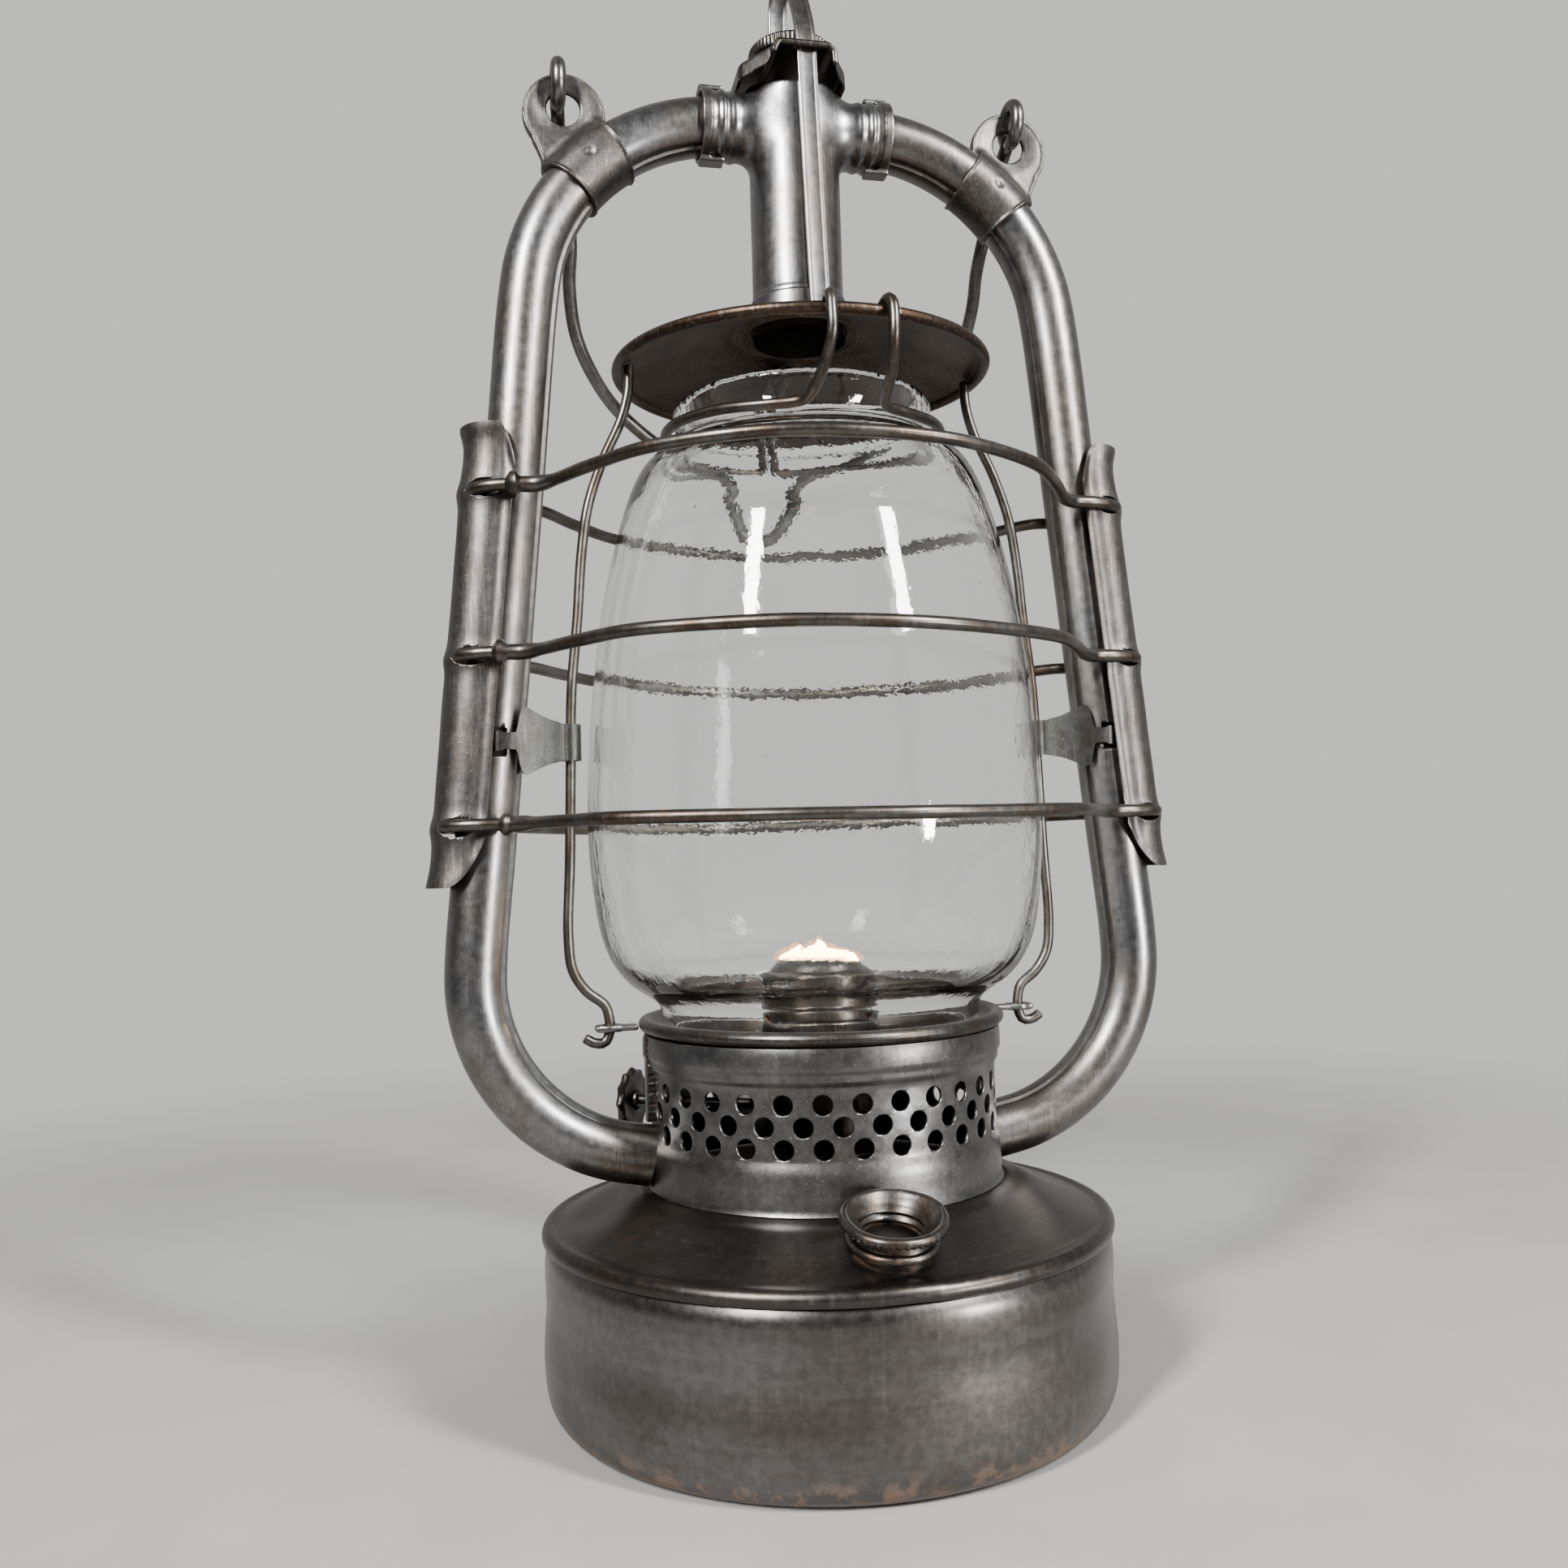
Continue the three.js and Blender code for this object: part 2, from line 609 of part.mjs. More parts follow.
function chimneyTee() {
  const R = CHIMNEY_RADIUS;
  const arm = [
    [0, 6], [9.4, 6], [ARM_RADIUS, 16], [9.9, 17.6], [9.9, 19.4], [ARM_RADIUS, 21],
    [ARM_RADIUS, ARM_END_X], [0, ARM_END_X],
  ];
  const arms = [-1, 1].map((side) => revolve(arm, 14).rotateY(side * Math.PI / 2)
    .translate(0, 0, TUBE_AXIS_Z));
  const crossBore = rod(TUBE_RADIUS, [-TUBE_START_X - 1, 0, TUBE_AXIS_Z],
    [TUBE_START_X + 1, 0, TUBE_AXIS_Z], 14);
  const rooms = [roomForTube(), mirrored(roomForTube())];
  const column = pillar(disc(R), CHIMNEY_BOTTOM_Z, CHIMNEY_TOP_Z, 10);
  const bore = pillar(disc(R - SHEET), CHIMNEY_BOTTOM_Z - 1, CHIMNEY_TOP_Z + 1, 10);
  const windows = new THREE.BoxGeometry(15, 40, 7).translate(0, 0, 351);
  return cut(join(column, ...arms), crossBore, ...rooms, bore, windows);
}

// A band over the end of the tee's arm, with a folded tab above and below.
function armBand() {
  const [inner, outer] = [ARM_RADIUS + GAP, ARM_RADIUS + 1.1];
  const [start, end] = [ARM_END_X - 4.8, ARM_END_X - 0.2];
  const ring = revolve([[inner, start], [outer, start], [outer, end], [inner, end]], 14);
  const tabs = [-1, 1].map((side) => new THREE.BoxGeometry(1.3, 5, 6.6)
    .translate(side * (outer + 0.2), 0, ARM_END_X - 2.3));
  return join(ring, ...tabs).rotateY(Math.PI / 2).translate(0, 0, TUBE_AXIS_Z);
}

function thickLine(points, thickness) {
  const up = points.map(([x, z]) => [x, z]);
  const down = points.map(([x, z]) => [x, z - thickness]).reverse();
  return outline([...up, ...down]);
}

// The rain cap: wings that slope to left and right, and a raised bridge before and behind
// with a slot for the lifting strip.
function rainCap() {
  const wings = slabXZ(thickLine([
    [-16, 350.2], [-11.5, 354.6], [-8, CAP_Z], [8, CAP_Z], [11.5, 354.6], [16, 350.2],
  ], 1), 23);
  const bridge = slabXZ(outline([
    [-10.2, 348.6], [-8.6, 354.8], [-7, CAP_Z], [7, CAP_Z], [8.6, 354.8], [10.2, 348.6],
    [9.2, 348.4], [7.8, 354.2], [6.5, CAP_Z - 1], [-6.5, CAP_Z - 1], [-7.8, 354.2], [-9.2, 348.4],
  ]), 36);
  const middle = new THREE.BoxGeometry(13, 30, 1).translate(0, 0, CAP_Z - 0.5);
  const frontSlot = new THREE.BoxGeometry(STRIP.width + 2.4, 3.4, 6)
    .translate(STRIP.slotX, 0.25 - STRIP.y, CAP_Z);
  const rearSlot = new THREE.BoxGeometry(STRIP.width + 1.2, 3.4, 6)
    .translate(0, STRIP.y - 0.25, CAP_Z);
  const room = rod(CHIMNEY_RADIUS + GAP, [0, 0, 340], [0, 0, CAP_Z - 1], 20);
  return cut(join(wings, bridge, middle), room, frontSlot, rearSlot);
}

function ventLid() {
  const bottom = CAP_Z + GAP;
  return revolve([
    [0, bottom], [11, bottom], [11.8, bottom + 1], [11.8, bottom + 4.2], [10.6, bottom + 5],
    [0, bottom + 5.6],
  ], 20);
}

// ---------------------------------------------------------------- ears, shields, guard, clips

function ear() {
  const middleAngle = Math.acos((EAR_BAND.x - CROWN.x) / CROWN_BEND_RADIUS);
  const halfTurn = EAR_BAND.length / 2 / CROWN_BEND_RADIUS;
  const path = curve(crownArc(middleAngle + halfTurn, 2 * halfTurn, 4));
  const inner = TUBE_RADIUS + GAP;
  const band = sweep(disc(inner + EAR_BAND.wall), path, 4, 6);
  const flag = slabXZ(disc(EAR.radius), EAR.thickness, 9)
    .translate(EAR.x, 0, EAR.z);
  const hole = rod(EAR.hole, [EAR.holeX, -5, EAR.holeZ], [EAR.holeX, 5, EAR.holeZ], 12);
  return cut(join(band, flag), roomForTube(), hole);
}

function shield() {
  const { inner, wall, offset, bottom, top } = SHIELD;
  const outer = inner + wall;
  const section = new THREE.Shape();
  section.moveTo(0, -outer);
  section.lineTo(offset, -outer);
  section.absarc(offset, 0, outer, -Math.PI / 2, Math.PI / 2, false);
  section.lineTo(0, outer);
  section.lineTo(0, inner);
  section.lineTo(offset, inner);
  section.absarc(offset, 0, inner, Math.PI / 2, -Math.PI / 2, true);
  section.lineTo(0, -inner);
  section.closePath();
  const channel = pillar(section, bottom, top, 4);

  const face = new THREE.Shape();
  const corner = 11;
  face.moveTo(20, bottom - 1);
  face.lineTo(corner, bottom);
  face.quadraticCurveTo(0, bottom, 0, bottom + corner);
  face.lineTo(0, top - corner);
  face.quadraticCurveTo(0, top, corner, top);
  face.lineTo(20, top + 1);
  face.closePath();
  const rounded = common(channel, slabXZ(face, 30, 3));

  const holes = Object.values(WIRE_HEIGHTS).flatMap((z) => [-1, 1].map((side) => {
    const hole = new THREE.Shape();
    hole.absellipse(8.2, z, 5.2, 2.6, 0, Math.PI * 2);
    return slabXZ(hole, 10, 3).translate(0, side * 9.4, 0);
  }));
  const upright = cut(rounded, ...holes);
  const lean = new THREE.Matrix4().makeShear(0, 0, 0, 0, -TUBE_SLOPE, 0);
  return upright.applyMatrix4(lean).translate(tubeX(0), 0, 0);
}

// One wire right round: inside each shield, round the outside of the tubes, and out in a bow
// before and behind the globe.
function guardWire(z) {
  const x = tubeX(z);
  const quarter = (reach) => [
    [x + 10.1, 6.9], [x + 6.6, 10.2], [x + 1.5, 11.9], [x - 6.5, 13.2], [x - 17.5, 29],
    [x - 30, 45.5], [26, reach - 4.6], [13, reach - 1],
  ];
  const front = quarter(GUARD_FRONT_REACH).map(([a, b]) => [a, -b, z]);
  const rear = quarter(GUARD_REAR_REACH).map(([a, b]) => [a, b, z]);
  const flip = (points) => points.map(([a, b, c]) => [-a, b, c]).reverse();
  const halfGap = 0.3;
  return wire([
    [x + 10.8, -halfGap, z], ...front, [0, -GUARD_FRONT_REACH, z], ...flip(front),
    [-x - 10.8, 0, z], ...flip(rear).reverse(), [0, GUARD_REAR_REACH, z],
    ...rear.slice().reverse(), [x + 10.8, halfGap, z],
  ], GUARD_WIRE_RADIUS, 58);
}

// A butterfly of sheet from the tube's face to the side wire, curled round the wire.
function guideClip() {
  const [wireX, z] = [CLIP_WIRE_X, CLIP_Z];
  const plan = new THREE.Shape();
  const [inner, outer] = [2.3, 3];
  const startAngle = -0.9;
  plan.moveTo(82.4, -8.4);
  plan.lineTo(wireX + outer * Math.cos(startAngle), outer * Math.sin(startAngle));
  plan.absarc(wireX, 0, outer, startAngle, startAngle - 1.5 * Math.PI, true);
  plan.absarc(wireX, 0, inner, startAngle - 1.5 * Math.PI, startAngle, false);
  plan.lineTo(81.9, -7.75);
  plan.closePath();
  const strap = pillar(plan, z - 9, z + 9, 6);
  const butterfly = outline([
    [60, z - 4.6], [66.5, z - 4.8], [71, z - 6], [75.6, z - 8.4], [77, z - 8], [77.6, z - 2.6],
    [83, z - 2.4], [83, z + 2.4], [77.6, z + 2.6], [77, z + 8], [75.6, z + 8.4], [71, z + 6],
    [66.5, z + 4.8], [60, z + 4.6],
  ]);
  return common(strap, slabXZ(butterfly, 30));
}

// ---------------------------------------------------------------- bail

// Drawn hanging straight down from its pivot, then swung back to where it rests.
function bail() {
  const R = BAIL_EYE_RADIUS;
  const [x, z] = [BAIL_EYE_X, BAIL_PIVOT_Z];
  const eye = [];
  const eyeSteps = 8;
  for (let i = 0; i <= eyeSteps; i++) {
    const angle = -0.45 * Math.PI + 1.84 * Math.PI * i / eyeSteps;
    eye.push([x, R * Math.cos(angle), z + R * Math.sin(angle)]);
  }
  const side = [
    [x - 0.8, 3.4, z - 14], [61.6, 0.6, z - 26], [60.2, 0, z - 40], [60.4, 0, z - 51],
    [58.4, 0, z - 64], [54, 0, z - 74], [47, 0, z - 84], [36, 0, z - 93.5], [24, 0, z - 100.5],
  ];
  const kink = [
    [15.5, 0, z - BAIL_DEPTH], [11.5, 0, z - BAIL_DEPTH - 4], [8.6, 0, z - 116],
    [5, 0, z - BAIL_KINK_DEPTH + 1.6],
  ];
  const half = [...eye.reverse(), ...side, ...kink];
  const flip = half.map(([a, b, c]) => [-a, b, c]).reverse();
  const hoop = wire([...half, [0, 0, z - BAIL_KINK_DEPTH], ...flip], BAIL_WIRE_RADIUS, 100);
  return hoop.translate(0, 0, -z).rotateX(BAIL_TILT).translate(0, 0, z);
}

// ---------------------------------------------------------------- assembly

place('tank_body', tankBody(), burnishedSteel);
place('tank_top', tankTop(), darkSteel);
place('filler_neck', fillerNeck(), rustedSteel);
place('air_band', airBand(), burnishedSteel);
place('burner_collar', burnerCollar(), burnerSteel);
place('burner_body', burnerBody(), burnerSteel);
place('burner_cone', burnerCone(), burnerSteel);
place('wick_tube', wickTube(), burnerSteel);
place('wick', wick(), cotton);
place('wick_shaft', wickShaft(), burnerSteel);
place('wick_knob', wickKnob(), darkSteel);

place('globe_plate', globePlate(), darkSteel);
place('globe', globe(), glass);
place('hood', hood(), darkSteel);
place('hood_collar', hoodCollar(), burnishedSteel);
place('lift_strip', liftStrip(), burnishedSteel);
placePair('neck_wire', neckWire(), wireSteel, NECK_WIRE_TURN);
placePair('side_wire', sideWire(), wireSteel);

place('chimney_tee', chimneyTee(), burnishedSteel);
placePair('arm_band', armBand(), burnishedSteel);
place('rain_cap', rainCap(), darkSteel);
place('vent_lid', ventLid(), darkSteel);
placePair('air_tube', airTube(), burnishedSteel);
placePair('bail_ear', ear(), burnishedSteel);
placePair('shield', shield(), burnishedSteel);
placePair('guide_clip', guideClip(), burnishedSteel);
for (const [level, z] of Object.entries(WIRE_HEIGHTS)) {
  place(`guard_wire_${level}`, guardWire(z), wireSteel);
}
place('bail', bail(), wireSteel);

export default lantern;
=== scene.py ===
"""The looks of a tubular oil lantern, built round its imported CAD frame.

Shapes are worked out in millimetres, in the frame's axes (+Z up, -Y front), and become metres
when they are made into objects. Each CAD node is replaced by a finely made piece in its place.
"""

import json
import math

import bpy
import bmesh
import numpy as np
from mathutils import Matrix, Vector

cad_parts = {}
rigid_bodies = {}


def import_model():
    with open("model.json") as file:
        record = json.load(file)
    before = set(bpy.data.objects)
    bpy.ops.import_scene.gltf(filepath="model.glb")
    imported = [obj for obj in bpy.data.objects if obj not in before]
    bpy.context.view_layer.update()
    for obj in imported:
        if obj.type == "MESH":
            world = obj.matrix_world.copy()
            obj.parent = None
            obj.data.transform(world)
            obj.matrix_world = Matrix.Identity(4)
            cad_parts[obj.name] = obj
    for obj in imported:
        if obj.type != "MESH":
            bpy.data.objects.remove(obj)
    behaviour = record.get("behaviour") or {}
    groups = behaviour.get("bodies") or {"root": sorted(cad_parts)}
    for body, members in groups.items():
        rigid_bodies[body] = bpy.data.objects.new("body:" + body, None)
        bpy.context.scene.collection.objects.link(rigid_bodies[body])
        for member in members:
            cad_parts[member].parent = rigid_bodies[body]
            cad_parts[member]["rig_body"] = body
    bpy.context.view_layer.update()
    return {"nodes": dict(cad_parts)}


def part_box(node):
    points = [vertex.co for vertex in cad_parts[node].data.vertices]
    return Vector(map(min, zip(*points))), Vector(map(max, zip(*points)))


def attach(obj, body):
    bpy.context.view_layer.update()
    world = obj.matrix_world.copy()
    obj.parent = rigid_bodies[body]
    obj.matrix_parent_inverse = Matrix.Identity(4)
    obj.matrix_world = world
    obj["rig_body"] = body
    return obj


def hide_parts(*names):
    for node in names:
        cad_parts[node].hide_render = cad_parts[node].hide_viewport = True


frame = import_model()
MM = 0.001
TAU = 2 * math.pi


def span(node):
    """The lowest and highest corners of a CAD node, in millimetres."""
    low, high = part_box(node)
    return np.array(low) / MM, np.array(high) / MM


# ------------------------------------------------------------------ driving dimensions

TANK_RADIUS, _, TANK_SEAM_Z = span("tank_body")[1]
SHEET = 0.8

FILLER_X = 0.5
FILLER_Y = -60.0
FILLER_Z = 52.1
FILLER_TILT = math.radians(16)
FILLER_THREAD_PITCH = 2.3
FILLER_NOTCHES = 46

BAND_RADIUS = 45.4
BAND_BOTTOM_Z, BAND_TOP_Z = (corner[2] for corner in span("air_band"))
VENT_ROWS_Z = (70.6, 75.8, 81.0)
VENTS_PER_ROW = 30
VENT_PHASE = 0.36
VENT_RADIUS = 2.4
BAND_SEAM_ANGLE = math.radians(-178)
BAND_SEAM_BOTTOM_Z = 72.6
SHAFT_HOLE_ANGLE = math.radians(140)

BURNER_TURN = math.radians(-33)
BURNER_RADIUS = 15.2
BURNER_HOLE_Z = 99.6
FLAME_Z = 110.6
WICK_SHAFT_Z = 72.0
WICK_SHAFT_OFFSET = 6.0
KNOB_DISTANCE = 59.5

PLATE_RADIUS = 46.4
PLATE_Z = 96.6
PLATE_FLOOR_Z = PLATE_Z - 8
EYE_X = 56.0
GLOBE_BOTTOM_Z, GLOBE_TOP_Z = (corner[2] for corner in span("globe"))

HOOD_RADIUS = 50.0
HOOD_RIM_Z = 271.0
HOOD_CENTRE_Z = 283.2
CHIMNEY_RADIUS = 12.4
CHIMNEY_BOTTOM_Z = span("chimney_tee")[0][2]
ARM_RADIUS = 9.0
ARM_END_X = span("chimney_tee")[1][0]
CAP_Z = 356.5

TUBE_RADIUS = 7.7
TUBE_AXIS_Z = 339.0
TUBE_START_X = 16.0
TUBE_FOOT_X, TUBE_FOOT_Z = 45.7, 63.4
TUBE_SEAM_ANGLE = math.radians(242)
CROWN_BEND = 55.0
FOOT_BEND = 47.0
FOOT_START_Z = 115.0
FOOT_TURN = math.radians(77.5)
TUBE_SLOPE = 0.0944
SPREAD = math.atan(TUBE_SLOPE)

WIRE_HEIGHTS = {"top": 235.0, "middle": 192.0, "bottom": 148.9}
GUARD_WIRE_RADIUS = 1.6
GUARD_FRONT_REACH = 64.0
GUARD_REAR_REACH = 66.0
COLLAR_INSETS = {"top": 0, "middle": 0, "bottom": 5}  # in from the left tube's axis

SHIELD_BOTTOM_Z, SHIELD_TOP_Z = 134.0, 252.0
SHIELD_RADIUS = 8.75
SHIELD_DEPTH = 4.7  # from the tube's axis out to the axis of the shield's round part
SHIELD_FLAT_RADIUS = 9.0  # the radius that its sheet is measured with when it is laid out flat

EAR_BAND_X = 55.8
EAR_X, EAR_Z, EAR_RADIUS = 62.8, 338.5, 10.9
EAR_HOLE_RADIUS, EAR_HOLE_Z = 4.45, 340.0

BAIL_RADIUS = 1.9
BAIL_PIVOT_Z = 346.75
BAIL_EYE_X = 64.2
BAIL_EYE_RADIUS = 5.2
BAIL_TILT = math.radians(31.5)

STRIP_WIDTH, STRIP_THICKNESS, STRIP_Y = 5.3, 1.8, 14.6
SIDE_WIRE_RADIUS = 1.35
NECK_WIRE_RADIUS = 1.4
NECK_RING_RADIUS, NECK_RING_FRONT_Z, NECK_RING_REAR_Z = 37.3, 250.9, 254.3
NECK_TURN = math.radians(3.5)
NECK_HOOK_ANGLE = math.radians(8.5)
CLIP_WIRE_X, CLIP_Z = 64.6, 170.5


def tube_x(z):
    """How far out the centre line of a side tube is at a height on its straight stretch."""
    return 76.3 + (254 - z) * TUBE_SLOPE


CROWN_END_Z = TUBE_AXIS_Z - CROWN_BEND * (1 - math.sin(SPREAD))
CROWN_X = tube_x(CROWN_END_Z) - CROWN_BEND * math.cos(SPREAD)
CROWN_Z = TUBE_AXIS_Z - CROWN_BEND
FOOT_X = tube_x(FOOT_START_Z) - FOOT_BEND * math.cos(SPREAD)
FOOT_Z = FOOT_START_Z - FOOT_BEND * math.sin(SPREAD)
EAR_ANGLE = math.acos((EAR_BAND_X - CROWN_X) / CROWN_BEND)


# ------------------------------------------------------------------ lines and outlines


def smooth_path(points, step=1.5, closed=False):
    """A centripetal Catmull-Rom curve through the points, in steps of about equal length."""
    p = np.array(points, float)
    if closed:
        ends = np.vstack([p[-1], p, p[0], p[1]])
    else:
        ends = np.vstack([2 * p[0] - p[1], p, 2 * p[-1] - p[-2]])
    dense = []
    for a, b, c, d in zip(ends, ends[1:], ends[2:], ends[3:]):
        ta, tb = 0.0, math.sqrt(np.linalg.norm(b - a))
        tc = tb + math.sqrt(np.linalg.norm(c - b))
        td = tc + math.sqrt(np.linalg.norm(d - c))
        t = np.linspace(tb, tc, 24, endpoint=False)[:, None]
        ab = (tb - t) / (tb - ta) * a + (t - ta) / (tb - ta) * b
        bc = (tc - t) / (tc - tb) * b + (t - tb) / (tc - tb) * c
        cd = (td - t) / (td - tc) * c + (t - tc) / (td - tc) * d
        abc = (tc - t) / (tc - ta) * ab + (t - ta) / (tc - ta) * bc
        bcd = (td - t) / (td - tb) * bc + (t - tb) / (td - tb) * cd
        dense.append((tc - t) / (tc - tb) * abc + (t - tb) / (tc - tb) * bcd)
    dense = np.vstack(dense + [ends[1] if closed else p[-1]])
    length = np.concatenate([[0], np.cumsum(np.linalg.norm(np.diff(dense, axis=0), axis=1))])
    count = max(int(length[-1] / step), 4) + 1
    at = np.linspace(0, length[-1], count)
    out = np.stack([np.interp(at, length, dense[:, i]) for i in range(p.shape[1])], axis=1)
    return out[:-1] if closed else out


def fillet(points, radius, steps=4):
    """A closed outline with its corners rounded; radius is one number, or one per corner."""
    p = np.array(points, float)
    radii = np.broadcast_to(radius, (len(p),))
    out = []
    for before, corner, after, r in zip(np.roll(p, 1, axis=0), p, np.roll(p, -1, axis=0), radii):
        u, v = before - corner, after - corner
        lu, lv = np.linalg.norm(u), np.linalg.norm(v)
        if r <= 0 or lu < 1e-9 or lv < 1e-9:
            out.append(corner)
            continue
        bend = math.acos(np.clip(-(u @ v) / (lu * lv), -1, 1))
        trim = min(r * math.tan(bend / 2), 0.45 * lu, 0.45 * lv)
        a, b = corner + u / lu * trim, corner + v / lv * trim
        for t in np.linspace(0, 1, steps + 1):
            out.append((1 - t) ** 2 * a + 2 * t * (1 - t) * corner + t * t * b)
    return np.array(out)


def left_of(line):
    """The direction to the left of a flat line, at each of its points."""
    along = np.gradient(line, axis=0)
    along /= np.linalg.norm(along, axis=1)[:, None]
    return np.stack([-along[:, 1], along[:, 0]], axis=1)


def thick(line, thickness):
    """A closed outline: the line itself and back along its other side, thickness to its left."""
    line = np.array(line, float)
    return np.vstack([line, (line + left_of(line) * thickness)[::-1]])


def arc(centre, radius, start, end, steps):
    """Points on a circle from one angle to another, in degrees."""
    angles = np.radians(np.linspace(start, end, steps + 1))
    return [(centre[0] + radius * math.cos(a), centre[1] + radius * math.sin(a)) for a in angles]


def circle(radius, sides=20):
    angles = np.arange(sides) * TAU / sides
    return np.stack([radius * np.cos(angles), radius * np.sin(angles)], axis=1)


def ease(x, low, high):
    """0 below low, 1 above high, and a smooth rise between."""
    t = np.clip((x - low) / (high - low), 0, 1)
    return t * t * (3 - 2 * t)


def bump_at(x, centre, width):
    return np.exp(-(((x - centre) / width) ** 2))


def ripple(x, y, z, size, seed):
    """Smooth waves between about -1 and 1, with features of that size in millimetres."""
    rng = np.random.default_rng(seed)
    total = 0
    for _ in range(7):
        direction = rng.normal(size=3)
        direction *= rng.uniform(0.7, 1.4) / np.linalg.norm(direction) * TAU / size / 1.6
        phase = rng.uniform(0, TAU)
        total = total + np.sin(x * direction[0] + y * direction[1] + z * direction[2] + phase)
    return total / 3.2


# ------------------------------------------------------------------ shapes: (vertices, faces)


def grid_faces(rows, columns, wrap_rows=False, wrap_columns=True):
    index = np.arange(rows * columns).reshape(rows, columns)
    if wrap_rows:
        index = np.vstack([index, index[:1]])
    if wrap_columns:
        index = np.hstack([index, index[:, :1]])
    quads = np.stack([index[:-1, :-1], index[:-1, 1:], index[1:, 1:], index[1:, :-1]], axis=-1)
    return quads.reshape(-1, 4).tolist()


def sheet(front, back):
    """A thin sheet between two grids of points, closed all round its edge."""
    rows, columns = front.shape[:2]
    count = rows * columns
    faces = grid_faces(rows, columns, wrap_columns=False)
    faces += [[i + count for i in face[::-1]] for face in faces]
    edge = list(range(columns)) + [i * columns + columns - 1 for i in range(1, rows)]
    edge += [count - 1 - i for i in range(1, columns)] + [i * columns for i in range(rows - 2, 0, -1)]
    faces += [[a, b, b + count, a + count] for a, b in zip(edge, edge[1:] + edge[:1])]
    return np.vstack([front.reshape(-1, 3), back.reshape(-1, 3)]), faces


def lathe(profile, segments=128, shape=None):
    """A closed outline of [radius, height] turned round +Z. shape(radius, height, angle) returns
    a new radius and height."""
    profile = np.array(profile, float)
    angle = np.arange(segments)[None, :] * TAU / segments
    radius = np.repeat(profile[:, :1], segments, axis=1)
    height = np.repeat(profile[:, 1:], segments, axis=1)
    if shape:
        radius, height = shape(radius, height, angle + 0 * radius)
    vertices = np.stack([radius * np.cos(angle), radius * np.sin(angle), height], axis=-1)
    return vertices.reshape(-1, 3), grid_faces(len(profile), segments, wrap_rows=True)


def sweep(path, section, closed=False, scale=None, across=None):
    """A closed section carried along a path. scale gives its size at each step, and across the
    direction that the section's first axis keeps to."""
    path = np.array(path, float)
    count = len(path)
    if closed:
        along = np.roll(path, -1, axis=0) - np.roll(path, 1, axis=0)
    else:
        along = np.gradient(path, axis=0)
    along /= np.linalg.norm(along, axis=1)[:, None]
    first = np.array(across if across is not None else (0.31, 0.17, 0.93), float)
    side = np.zeros_like(path)
    current = first
    for i in range(count):
        if across is not None:
            current = first
        current = current - along[i] * (current @ along[i])
        current /= np.linalg.norm(current)
        side[i] = current
    up = np.cross(along, side)
    size = np.ones(count) if scale is None else np.array(scale)
    section = np.array(section, float)
    ring = size[:, None, None] * (
        section[None, :, :1] * side[:, None, :] + section[None, :, 1:] * up[:, None, :]
    )
    vertices = (path[:, None, :] + ring).reshape(-1, 3)
    faces = grid_faces(count, len(section), wrap_rows=closed)
    if not closed:
        faces.append(list(range(len(section)))[::-1])
        faces.append(list(range((count - 1) * len(section), count * len(section))))
    return vertices, faces


def wire(points, radius, closed=False, step=1.2, sides=16, seed=1, knots=()):
    """A drawn wire with slight hand-made unevenness and softened ends. Each knot is a place
    along the path, how much thicker the wire is there, and over what length."""
    path = smooth_path(points, step, closed)
    size = 1 + 0.018 * ripple(path[:, 0], path[:, 1], path[:, 2], 14, seed)
    for place, extra, length in knots:
        distance = np.linalg.norm(path - place, axis=1)
        size = size + extra * np.exp(-((distance / length) ** 4))
    if not closed:
        start = path[0] + (path[1] - path[0]) * 0.25
        finish = path[-1] + (path[-2] - path[-1]) * 0.25
        path = np.vstack([path[0], start, path[1:-1], finish, path[-1]])
        size = np.concatenate([[0.72, 0.97], size[1:-1], [0.97, 0.72]])
    return sweep(path, circle(radius, sides), closed, size)


